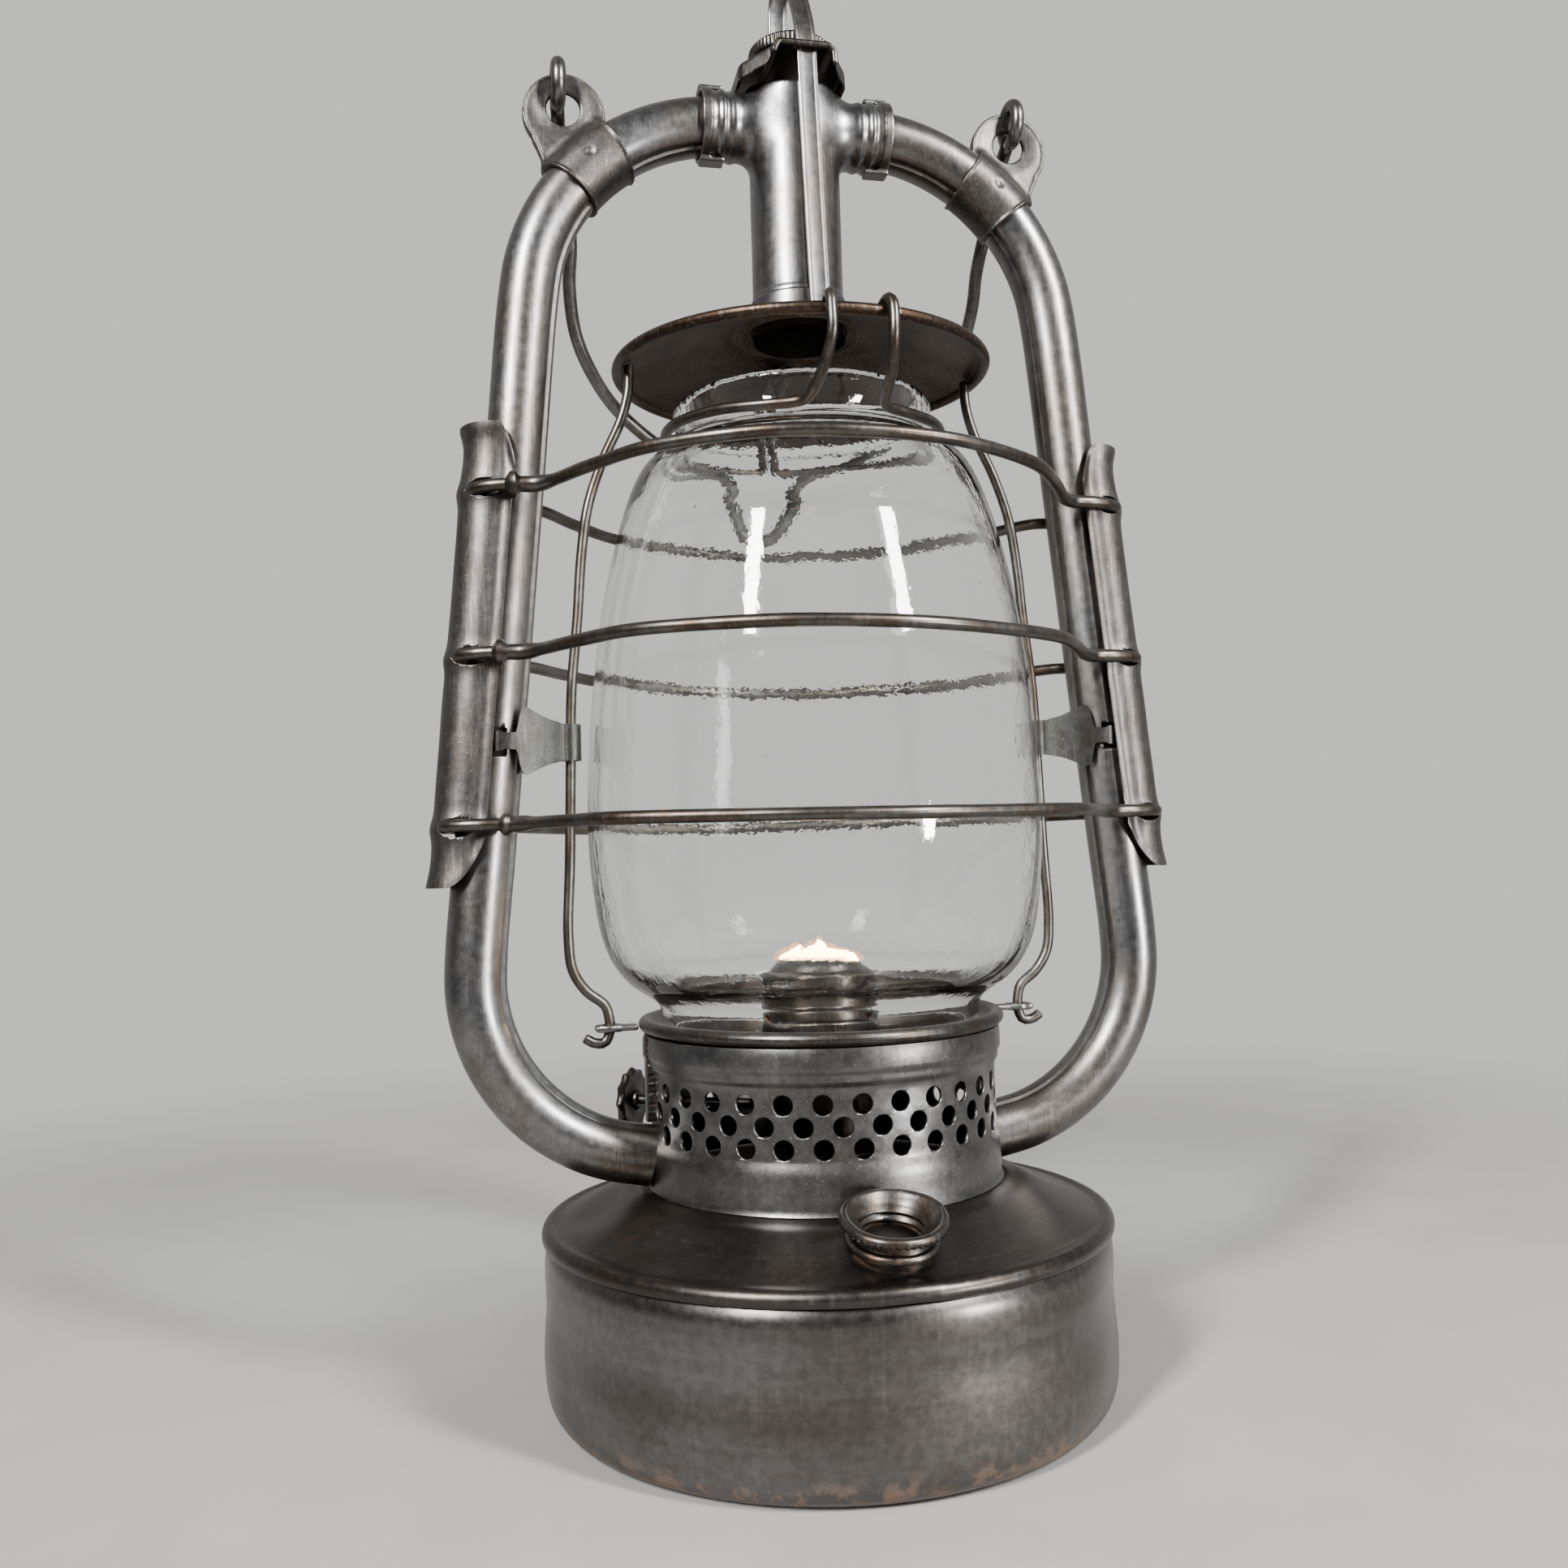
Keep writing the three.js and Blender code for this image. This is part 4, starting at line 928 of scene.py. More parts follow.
def band_seam():
    """The lap where the band's ends meet: a strip with ragged edges, standing proud of it."""
    z = np.linspace(BAND_SEAM_BOTTOM_Z, BAND_TOP_Z - 0.2, 70)[:, None]
    across = np.linspace(-1, 1, 9)[None, :]
    angle = BAND_SEAM_ANGLE + across * (0.050 + 0.003 * np.sin(z * 1.7) + 0.003 * np.sin(z * 4.3))
    outside = np.maximum(band_radius(z), 46.7) + 0.55 - 0.25 * across ** 8
    inside = band_radius(z) - 0.3
    return sheet(*(np.stack([r * np.cos(angle), r * np.sin(angle), z + 0 * angle], axis=-1)
                   for r in (outside, inside)))


# ------------------------------------------------------------------ burner


def prism(outline, bottom, top):
    """A flat outline raised from one height to another."""
    outline = np.array(outline, float)
    n = len(outline)
    low = np.column_stack([outline, np.full(n, bottom)])
    high = np.column_stack([outline, np.full(n, top)])
    faces = grid_faces(2, n)
    faces.append(list(range(n))[::-1])
    faces.append(list(range(n, 2 * n)))
    return np.vstack([low, high]), faces


def slab(width, depth, bottom, top, rounding=0.4):
    """A block round the origin with its upright edges rounded."""
    w, d = width / 2, depth / 2
    return prism(fillet([(-w, -d), (w, -d), (w, d), (-w, d)], rounding), bottom, top)


def burner_body():
    """The draft tube, with oval holes that show the painted firelight inside it."""
    r = BURNER_RADIUS
    profile = fillet([
        (r, 63.9), (r, 96.5), (r - 0.25, 97.2), (r, 97.9), (r, 104.4), (r - 1.2, 105.0),
        (r - 1.3, 104.2), (r - 0.8, 103.6), (r - 0.8, 63.9),
    ], 0.4)
    oval = circle(1, 24) * np.array([2.4, 1.5])
    hole = moved(prism(oval, r - 4, r + 4), turn(math.pi / 2, "Y"))
    places = [turn(i * TAU / 3 - 0.27) @ shift(0, 0, BURNER_HOLE_Z) for i in range(3)]
    return lathe(profile, 96), [moved(hole, place) for place in places]


def burner_cone():
    """A shallow dome over the wick with a slot for the flame, its lips turned up."""
    r = BURNER_RADIUS
    side = smooth_path([
        (r + 0.15, 104.2), (r + 0.1, 105.1), (r - 0.6, 106.0), (r - 1.9, 106.7), (12.4, 108.2),
        (11.5, 109.8), (10.2, 110.9), (8.2, 111.4), (4, 111.6), (0, 111.6),
    ], 0.5)
    slot = slab(19.4, 5.4, 105, 115, 2.6)
    return lathe(thick(side, 0.8), 96), [slot]


def burner_collar():
    """The threaded socket in the tank's top, closed but for the wick's slot."""
    profile = fillet([(17.8, 49), (18.6, 49), (18.6, 55.5), (22, 55.5), (22, 56.6), (18.8, 56.9),
                      (18.6, 63.6), (0, 63.8), (0, 62.9), (17.8, 62.8)], 0.3, 3)
    return lathe(profile, 96), [moved(slab(21.4, 5.6, 60, 66), turn(BURNER_TURN))]


def wick_tube():
    """A flat tube that the wick climbs in."""
    outside = slab(20.4, 4.8, 44, 104.6, 1.2)
    return outside, [slab(18.8, 3.4, 40, 110, 0.9)]


def knob():
    """A dished wheel: scalloped rim, sunk face and a raised hub."""
    side = [
        (1.5, -2.4), (2.6, -2.4), (2.8, -1.2), (5, -1.0), (7.6, -1.1), (8.6, -0.9), (9, 0),
        (8.7, 0.9), (7.8, 1.1), (6.9, 0.6), (6.2, -0.2), (4, -0.3), (3, 0.2), (2.4, 0.8),
        (0, 0.9), (0, -2.4),
    ]

    def scallops(radius, height, angle):
        rim = ease(radius, 6.6, 8.4)
        return radius - rim * 0.75 * (0.5 - 0.5 * np.cos(12 * angle)) ** 0.6, height

    return lathe(fillet(side, 0.5), 144, scallops)


def along_shaft(distance):
    """Turns a shape drawn about +Z onto the wick shaft, with its face towards the knob."""
    return (turn(BURNER_TURN) @ shift(-distance, WICK_SHAFT_OFFSET, WICK_SHAFT_Z)
            @ turn(-math.pi / 2, "Y"))


def wick_shaft():
    """A rod from behind the wick out to the knob, with two toothed wheels that move the wick."""
    past_wick = 11.4
    rod = moved(prism(circle(1.3, 20), 0, KNOB_DISTANCE + 11), along_shaft(-past_wick))
    wheel = lathe([(0, -0.6), (4.3, -0.6), (4.3, 0.6), (0, 0.6)], 72,
                  lambda r, h, a: (r - 0.9 * ease(r, 2, 4) * (0.5 + 0.5 * np.cos(9 * a)), h))
    return joined(rod, *(moved(wheel, along_shaft(distance)) for distance in (4, -5)))


# ------------------------------------------------------------------ globe, hood, lift


def globe():
    """The glass: a squat neck below, full shoulders, and a straight neck with a chipped lip."""
    outer = smooth_path([
        (42.2, GLOBE_BOTTOM_Z), (42.3, 99.5), (42.9, 101.6), (45.2, 103.6), (50.4, 107.2),
        (54.7, 112.6), (57.5, 119.5), (59.3, 130), (60.3, 141), (60.5, 150), (59.9, 166),
        (58.3, 185), (56.0, 203), (53.3, 217), (50.2, 229), (46.8, 238.6), (43.9, 243.6),
        (40.6, 246.6), (37.4, 248.4), (35.7, 250.2), (34.9, 252.6), (34.9, 256), (35.2, GLOBE_TOP_Z - 0.4),
    ], 1.1)
    wall = np.interp(outer[:, 1], [96, 103, 112, 150, 232, 245, 250, 261],
                     [3, 3, 2.3, 1.9, 2.0, 2.6, 3.1, 3.0])
    inner = outer + left_of(outer) * wall[:, None]
    lip = arc(((outer[-1, 0] + inner[-1, 0]) / 2, GLOBE_TOP_Z - 0.4), wall[-1] / 2, 20, 160, 5)
    rim = arc(((outer[0, 0] + inner[0, 0]) / 2, GLOBE_BOTTOM_Z + 0.6), wall[0] / 2, 200, 340, 5)
    profile = np.vstack([outer[1:-1], np.array(lip) - [0, 1.1], inner[::-1][1:-1], rim])
    count = len(outer) - 2
    is_inner = np.zeros(len(profile), bool)
    is_inner[count + len(lip):count + len(lip) + count] = True

    def blown(radius, height, angle):
        x, y = radius * np.cos(angle), radius * np.sin(angle)
        inside = is_inner[:, None]
        outer_wave = 0.14 * ripple(x, y, height, 60, 21) + 0.02 * ripple(x, y, height, 15, 22)
        inner_wave = 0.24 * ripple(x, y, height, 46, 31) + 0.025 * ripple(x, y, height, 14, 32)
        calm = ease(height, GLOBE_BOTTOM_Z, 106)
        radius = radius - 0.2 * calm + np.where(inside, inner_wave, outer_wave) * calm
        top = ease(height, GLOBE_TOP_Z - 5, GLOBE_TOP_Z - 1)
        chips = 0.12 * ripple(x, y, 0 * height, 9, 41) + 0.35 * np.abs(ripple(x, y, height, 1.1, 42))
        return radius + 0.4 * top * chips, height - top * chips

    return lathe(profile, 288, blown)


def bubbles():
    """A few seeds trapped in the glass, as small hollow ovals."""
    rng = np.random.default_rng(7)
    shapes = []
    for _ in range(9):
        angle, z = rng.uniform(0, TAU), rng.uniform(120, 236)
        r = np.interp(z, [112, 130, 150, 185, 217, 236], [53.8, 58.4, 59.6, 57.4, 52.4, 47.3])
        size = rng.uniform(0.15, 0.34)
        profile = [(size * math.sin(t), size * 1.7 * math.cos(t)) for t in np.linspace(0, math.pi, 9)]
        shapes.append(moved(lathe(profile, 12), turn(angle) @ shift(r - 0.15, 0, z)))
    return joined(*shapes)


def globe_plate():
    """A rolled rim and a ledge that the globe stands on, with a sunk floor pierced for air."""
    roll = arc((PLATE_RADIUS + 0.1, PLATE_Z - 0.1), 1.75, -150, 170, 18)
    r, top, sunk = PLATE_RADIUS, PLATE_Z, PLATE_FLOOR_Z
    under = [(16.6, sunk - 0.7), (37.6, sunk - 0.7), (39.0, sunk + 0.7), (39.0, top - 2.0),
             (r - 3, top - 2.0)]
    inside = [(r - 2.4, top - 0.9), (r - 3.6, top - 1.3), (38.3, top - 1.3), (38.3, sunk + 1.0),
              (37.2, sunk), (17.6, sunk), (17.0, sunk + 0.9), (16.4, sunk + 0.7)]
    profile = under + roll + inside
    holes = []
    for i in range(16):
        angle = (i + 0.5) * TAU / 16
        spot = shift(31 * math.cos(angle), 31 * math.sin(angle))
        holes.append(moved(prism(circle(2.6, 20), sunk - 3, sunk + 3), spot))

    def wobble(radius, height, angle):
        return radius, height + 0.25 * np.sin(2 * angle + 1.1) * ease(radius, 40, 47)

    return lathe(fillet(profile, 0.3, 2), 192, wobble), holes


def plate_tab():
    """A flat tongue that ends in an eye for a side wire."""
    thick_half = 0.75

    def field(x, y, z):
        from_eye = np.hypot(x - EYE_X, y)
        body = box_distance(x, y, z, (54.2, 0, PLATE_Z), (5.5, 2.3, thick_half), 0.6)
        head = blend_max(from_eye - 3.1, np.abs(z - PLATE_Z) - thick_half, 0.4)
        return blend_max(blend_min(body, head, 0.8), 1.75 - from_eye, 0.3)

    return surface_net(field, (48, -4, PLATE_Z - 2), (60.5, 4, PLATE_Z + 2), 0.28)


def hood():
    """A shallow cone with a thick rolled rim and a turned-up collar at its centre."""
    top = smooth_path([(13.1, 284.3), (13.4, 283.6), (16, 282.9), (20, 281.9), (32, 278.1),
                       (44, 274.1), (47.6, 273.1)], 1.2)
    roll = arc((HOOD_RADIUS - 0.1, HOOD_RIM_Z), 1.5, 120, -190, 16)
    under = smooth_path([(47.2, 271.7), (44, 273.0), (32, 277.0), (20.5, 280.8), (17.6, 281.7),
                         (16.6, 281.0), (15.6, 281.0), (14.8, 281.8), (13.2, 282.3)], 0.8)
    profile = np.vstack([top, roll, under])

    def wobble(radius, height, angle):
        x, y = radius * np.cos(angle), radius * np.sin(angle)
        edge = ease(radius, 30, 50)
        return radius, height + edge * 0.4 * ripple(x, y, 0 * height, 60, 8)

    tilt = shift(0, 0, HOOD_CENTRE_Z) @ turn(math.radians(1.1), "X") @ shift(0, 0, -HOOD_CENTRE_Z)
    notches = []
    for side in (-1, 1):
        angle = -math.pi / 2 + NECK_TURN + side * NECK_HOOK_ANGLE
        bar = moved(prism(circle(1.75, 16), 45.5, 54), turn(math.pi / 2, "Y"))
        notches.append(moved(bar, turn(angle) @ shift(0, 0, HOOD_RIM_Z + 0.6)))
    return moved(lathe(profile, 224, wobble), tilt), notches


def hood_collar():
    """A short sleeve that stands on the hood round the chimney."""
    return lathe(fillet([(12.75, 283.4), (13.5, 283.4), (13.4, 289.6), (13.1, 290.2),
                         (12.75, 290.1)], 0.2), 128)


def strip_line():
    """Up in front of the chimney, round in the finger loop, and down behind it."""
    y = STRIP_Y
    return [
        (2.6, -y, HOOD_CENTRE_Z + 0.5), (2.0, -y, 305), (1.4, -y, 330), (0.9, -y, 350),
        (0.8, -y + 0.6, 359), (0.5, -9.4, 370.5), (0.2, -3, 380.5), (0, 3.6, 387.0),
        (0, 9.4, 387.9), (-0.1, 13.2, 384), (-0.2, y, 376), (-0.3, y, 355), (-0.3, y, 330),
        (-0.3, y, 305), (-0.3, y, HOOD_CENTRE_Z + 0.5),
    ]


def lift_strip():
    """One strip with a shallow groove down its face, up through the cap and round in a loop."""
    w, t = STRIP_WIDTH / 2, STRIP_THICKNESS / 2
    face = [(-w, t - 0.15), (-w + 0.3, t), (-w + 0.75, t), (-w + 1.05, t - 0.28), (w - 1.05, t - 0.28),
            (w - 0.75, t), (w - 0.3, t), (w, t - 0.15)]
    section = fillet([*[(a, -b) for a, b in face], *face[::-1]], 0.12, 2)
    return sweep(smooth_path(strip_line(), 1.5), section, across=(1, 0, 0))


def polar(radius, angle, z):
    return (radius * math.cos(angle), radius * math.sin(angle), z)


def neck_wire():
    """Hooked over the hood's front rim, down and half way round the neck, and up behind it."""
    front = -math.pi / 2
    hook = front + NECK_HOOK_ANGLE
    r = NECK_RING_RADIUS
    points = [
        polar(46.4, hook, 271.2), polar(48.2, hook, 272.4), polar(50.4, hook, 272.7),
        polar(52.3, hook, 271.2), polar(53.0, hook, 268.0), polar(52.7, hook, 262.7),
        polar(48.5, hook + 0.03, 256.2), polar(43, hook + 0.07, 252.8),
        polar(38.7, hook + 0.13, 251.1), polar(r + 0.1, hook + 0.22, NECK_RING_FRONT_Z),
    ]
    rear = math.pi / 2 - 0.06
    start = hook + 0.36
    for i in range(8):
        rise = min(i / 4, 1) * (NECK_RING_REAR_Z - NECK_RING_FRONT_Z)
        points.append(polar(r, start + (rear - start) * i / 7, NECK_RING_FRONT_Z + rise))
    points += [(1.9, r + 0.3, 258.5), (1.9, r, 268), (1.9, 33, 273.4), (1.9, 24, 276.4),
               (1.9, 17, 278.8)]
    return points


def side_wire():
    """From under the hood down along the globe, through the plate's eye, and hooked outward."""
    return [
        (47, 0, 271.2), (47.4, 0, 264), (49.4, 0, 256.4), (54.8, 0, 244.5), (58.6, 0, 233),
        (60.6, 0, 220), (62, 0, 203), (63.9, 0, 184), (64.5, 0, 165), (65.2, 0, 140),
        (66, 0, 120), (65, 0, 111.6), (61.6, 0, 106.2), (57, 0, 102.4), (EYE_X, 0, 99),
        (EYE_X, 0, 95.6), (57.3, 0, 93), (60, 0, 93), (62.4, 0, 94.4),
    ]


# ------------------------------------------------------------------ side tubes


def tube_line():
    def bend(x, z, radius, start, sweep_angle, steps):
        return [(x + radius * math.cos(start - sweep_angle * i / steps), 0,
                 z + radius * math.sin(start - sweep_angle * i / steps)) for i in range(steps + 1)]

    crown = bend(CROWN_X, CROWN_Z, CROWN_BEND, math.pi / 2, math.pi / 2 - SPREAD, 8)
    foot = bend(FOOT_X, FOOT_Z, FOOT_BEND, SPREAD, FOOT_TURN, 7)
    middle = [(tube_x(z), 0, z) for z in (235, 190, 145)]
    return [(TUBE_START_X, 0, TUBE_AXIS_Z), *crown, *middle, *foot, (TUBE_FOOT_X, 0, TUBE_FOOT_Z)]


def air_tube():
    """A bent tube of sheet, its lapped seam along the inside of the bend."""
    path = smooth_path(tube_line(), 1.6)
    angle = np.arange(96) * TAU / 96
    off = (angle - TUBE_SEAM_ANGLE + math.pi) % TAU - math.pi
    lap = 0.35 * ease(off, 0.03, 0.09) * (1 - ease(off, 0.25, 0.8))
    radius = TUBE_RADIUS - 0.55 * bump_at(off, 0, 0.06) + lap
    section = np.stack([radius * np.cos(angle), radius * np.sin(angle)], axis=1)
    waves = 1 + 0.006 * ripple(path[:, 0], path[:, 1], path[:, 2], 30, 17)
    return sweep(path, section, scale=waves, across=(0, 1, 0))


def clip_slot():
    """The window in a tube's side that the guide clip hooks into."""
    slot = prism(fillet([(-4, -3.6), (4, -3.6), (4, 3.6), (-4, 3.6)], 0.8), -2.4, 2.4)
    return moved(moved(slot, turn(math.pi / 2, "X")), shift(tube_x(CLIP_Z) + 0.6, -8.2, CLIP_Z))


def bent_distance(x, y, z):
    """Distance from the crown bend's centre line, and how far along it a point lies from the
    middle of the ear's band."""
    from_centre = np.hypot(x - CROWN_X, z - CROWN_Z)
    off = np.hypot(from_centre - CROWN_BEND, y)
    along = (np.arctan2(z - CROWN_Z, x - CROWN_X) - EAR_ANGLE) * CROWN_BEND
    return off, along


def bail_ear():
    """A band round the tube with a beaded edge at each end. Its sheet runs out into a broad eye,
    dished towards the hole and closed by a thin raised rim."""
    foot = EAR_ANGLE - 8.2 / CROWN_BEND
    foot_x = CROWN_X + (CROWN_BEND + TUBE_RADIUS + 0.6) * math.cos(foot)
    foot_z = CROWN_Z + (CROWN_BEND + TUBE_RADIUS + 0.6) * math.sin(foot)
    edge = np.array([EAR_X + EAR_RADIUS - 0.15 - foot_x, EAR_Z - 1.5 - foot_z])
    edge = edge / np.linalg.norm(edge)
    eye_distance = math.hypot(EAR_X - CROWN_X, EAR_Z - CROWN_Z)
    dent_x = CROWN_X + (CROWN_BEND + 1.5) * math.cos(EAR_ANGLE)
    dent_z = CROWN_Z + (CROWN_BEND + 1.5) * math.sin(EAR_ANGLE)

    def field(x, y, z):
        off, along = bent_distance(x, y, z)
        band = blend_max(off - (TUBE_RADIUS + 0.85), np.abs(along) - 8.5, 0.4)
        for end in (-8.15, 8.15):
            bead = np.hypot(off - (TUBE_RADIUS + 0.8), along - end) - 0.42
            band = blend_min(band, bead, 0.2)
        from_hole = np.hypot(x - EAR_X - 0.1, z - EAR_HOLE_Z)
        from_middle = np.hypot(x - EAR_X, z - EAR_Z)
        from_centre = np.hypot(x - CROWN_X, z - CROWN_Z)
        past_edge = (x - foot_x) * edge[1] - (z - foot_z) * edge[0]
        web = blend_max(past_edge, from_centre - eye_distance, 0.5)
        web = blend_max(web, np.maximum(along - 8.3, -9.5 - along), 0.5)
        web = np.maximum(web, CROWN_BEND - from_centre)
        plate = blend_min(from_middle - EAR_RADIUS, web, 1.5)
        half = 0.6 + 0.72 * ease(from_hole, 3.6, 9.0) + 0.24 * bump_at(plate, -0.45, 0.4)
        flag = blend_max(plate, np.abs(y) - half, 0.4)
        flag = blend_max(flag, EAR_HOLE_RADIUS - from_hole, 0.6)
        solid = blend_min(band, flag, 3.2)
        dent = np.sqrt((x - dent_x) ** 2 + (y + TUBE_RADIUS + 2.4) ** 2 + (z - dent_z) ** 2) - 2.1
        solid = blend_max(solid, -dent, 0.5)
        return np.maximum(solid, (TUBE_RADIUS - 0.15) - off)

    return surface_net(field, (42, -10, 312), (75, 10, 351), 0.4)


# ------------------------------------------------------------------ tee and cap


def chimney_tee():
    """A pressed tee: the column flares softly into two arms, and each arm has two beads."""
    def field(x, y, z):
        column = np.hypot(x, y) - CHIMNEY_RADIUS + 0.05 * ripple(x, y, z, 16, 9)
        reach = np.abs(x)
        arm_radius = ARM_RADIUS - 0.25 + 0.5 * bump_at(reach, 17.6, 1.1) + 0.75 * bump_at(reach, 20.8, 1.0)
        arm_radius = arm_radius + 0.5 * bump_at(reach, 23.9, 1.2) + 0.06 * ripple(x, y, z, 9, 12)
        arm = np.hypot(y, z - TUBE_AXIS_Z) - arm_radius
        arm = blend_max(arm, reach - (ARM_END_X - 1.4), 0.4)
        solid = blend_min(column, arm, 4.6)
        shoulder = (z - 350.4) * 0.9 + np.abs(y) * 0.22
        solid = blend_max(solid, shoulder, 0.5)
        solid = blend_max(solid, CHIMNEY_BOTTOM_Z - z, 0.4)
        ring = blend_max(np.hypot(x, y) - (CHIMNEY_RADIUS + 0.3), z - 291.5, 0.5)
        solid = blend_min(solid, ring, 0.4)
        bore = np.hypot(x, y) - (CHIMNEY_RADIUS - 1.0)
        duct = np.hypot(y, z - TUBE_AXIS_Z) - (TUBE_RADIUS - 0.6)
        return blend_max(solid, -np.minimum(bore, duct), 0.3)

    return surface_net(field, (-27, -14, CHIMNEY_BOTTOM_Z - 1), (27, 14, 353), 0.55)


def arm_band():
    """A clip ring over the end of an arm, with a square folded tab above and below."""
    middle = ARM_END_X - 1.4

    def field(x, y, z):
        off = np.hypot(y, z - TUBE_AXIS_Z)
        ring = blend_max(np.abs(off - (ARM_RADIUS + 0.15)) - 0.55, np.abs(x - middle) - 1.3, 0.35)
        solid = ring
        for side in (-1, 1):
            centre = (middle - 1.9, 0, TUBE_AXIS_Z + side * (ARM_RADIUS + 0.95))
            tab = box_distance(x, y, z, centre, (3.3, 2.3, 0.62), 0.35)
            solid = blend_min(solid, tab, 0.7)
        return solid

    return surface_net(field, (18, -11, 326), (29, 11, 352), 0.36)


def bent_sheet(x, z, line, half):
    """Distance in the XZ plane from a thick bent line."""
    best = np.full(np.shape(x), 1e9)
    for (x0, z0), (x1, z1) in zip(line, line[1:]):
        dx, dz = x1 - x0, z1 - z0
        t = np.clip(((x - x0) * dx + (z - z0) * dz) / (dx * dx + dz * dz), 0, 1)
        best = np.minimum(best, np.hypot(x - x0 - t * dx, z - z0 - t * dz))
    return best - half


def rain_cap():
    """A pressed cap. A square bridge with a thick lip stands over the strip, and the front and
    back slant away from it to the tips of two sloping wings, with their edges turned down."""
    lip_line = [(-8.3, 352.4), (-7.1, 354.9), (6.5, 354.9), (8.0, 353.4), (8.2, 350.6)]

    def field(x, y, z):
        far = np.abs(x + 0.3)
        reach = np.where(x < 0, 16.3, 13.4)
        wide = np.abs(y)
        top = 356.1 - 2.0 * ease(far, 6.2, 9.0) - 2.0 * ease(far, 7.5, reach + 2)
        depth = 16.9 - 8.0 * np.clip((far - 7.4) / (reach - 7.4), 0, 1)
        skirt = 1.5 + 2.9 * ease(far, 7.4, 10.2)
        outside = blend_max(blend_max(z - top, wide - depth, 1.3), far - reach, 1.2)
        inside = blend_max(blend_max(z - top + 1, wide - depth + 1, 0.9), far - reach + 1, 0.9)
        cap = blend_max(outside, -inside, 0.3)
        cap = blend_max(cap, top - skirt - z, 0.3)
        lip = np.hypot(bent_sheet(x, z, lip_line, 0.0), wide - 16.4) - 0.85
        cap = blend_min(cap, lip, 0.5)
        front = box_distance(x, y, z, (1.0, 0.25 - STRIP_Y, CAP_Z), (3.4, 1.35, 6), 0.4)
        rear = box_distance(x, y, z, (-0.3, STRIP_Y - 0.25, CAP_Z), (3.2, 1.35, 6), 0.4)
        return blend_max(cap, -np.minimum(front, rear), 0.25)

    return surface_net(field, (-18, -18.5, 345), (18, 18.5, 358), 0.38)


def vent_lid():
    """A low knurled lid on the cap."""
    bottom = CAP_Z + 0.3
    profile = fillet([
        (0, bottom), (9.6, bottom), (10.2, bottom + 1.2), (11.6, bottom + 1.6), (11.8, bottom + 2.4),
        (11.8, bottom + 4.3), (11.0, bottom + 5.1), (8.4, bottom + 5.3), (7.6, bottom + 4.7),
        (0, bottom + 4.9),
    ], 0.35)

    def knurl(radius, height, angle):
        edge = ease(radius, 10.8, 11.6) * bump_at(height, bottom + 3.8, 1.3)
        return radius - 0.32 * edge * (0.5 + 0.5 * np.cos(60 * angle)), height

    return lathe(profile, 360, knurl)


# ------------------------------------------------------------------ shields, guard, clips, bail


def shield():
    """A half-round trough over the outside of a tube, swollen at each guard wire, its ends
    rounded and flared. Its sheet is first laid out flat: u goes up it, and v round it."""
    rows, columns = 150, 44
    quarter = SHIELD_FLAT_RADIUS * math.pi / 2
    u = np.linspace(0, 1, rows)[:, None]
    v = np.linspace(-1, 1, columns)[None, :]
    along = v * (SHIELD_DEPTH + quarter)
    angle = np.clip(along / SHIELD_FLAT_RADIUS, -math.pi / 2, math.pi / 2)
    straight = np.clip(np.abs(along) - quarter, 0, None)
    inset = (straight - SHIELD_FLAT_RADIUS * np.cos(angle)) / (2 * SHIELD_DEPTH) + 0.5
    inset = np.clip(inset, 0, 1)
    low_z = SHIELD_BOTTOM_Z + 12.0 * inset ** 2.2
    high_z = SHIELD_TOP_Z - 10.5 * np.clip((inset - 0.42) / 0.58, 0, 1) ** 2
    z = low_z + (high_z - low_z) * u
    swell = sum(bump_at(z, height, 2.6) for height in WIRE_HEIGHTS.values()) * 0.7
    flare = 1.2 * bump_at(z, high_z, 3.0) + 0.45 * bump_at(z, low_z, 3.0)
    dip = -0.25 * bump_at(z, high_z - 8, 4) - 0.2 * bump_at(z, low_z + 8, 4)
    crease = 0.45 * bump_at(np.abs(v), 0.97, 0.05) - 0.2 * bump_at(np.abs(v), 0.84, 0.06)
    layers = []
    for thickness in (0.0, SHEET):
        r = SHIELD_RADIUS - thickness + swell + (flare + dip) * (1 - 0.3 * np.abs(v)) + crease
        r = r + 0.06 * ripple(along, 0 * along, z, 12, 4)
        x = SHIELD_DEPTH - straight + r * np.cos(angle)
        y = np.sign(along) * np.where(straight > 0, r, r * np.sin(np.abs(angle)))
        layers.append(np.stack([x + tube_x(z), y + 0 * z, z + 0 * x], axis=-1))
    holes = []
    oval = circle(1, 28) * np.array([4.4, 2.35])
    bar = moved(prism(oval, -5, 5), turn(math.pi / 2, "X"))
    for height in WIRE_HEIGHTS.values():
        for side in (-1, 1):
            holes.append(moved(bar, shift(tube_x(height) + 7.4, side * 10.2, height)))
    return sheet(*layers), holes


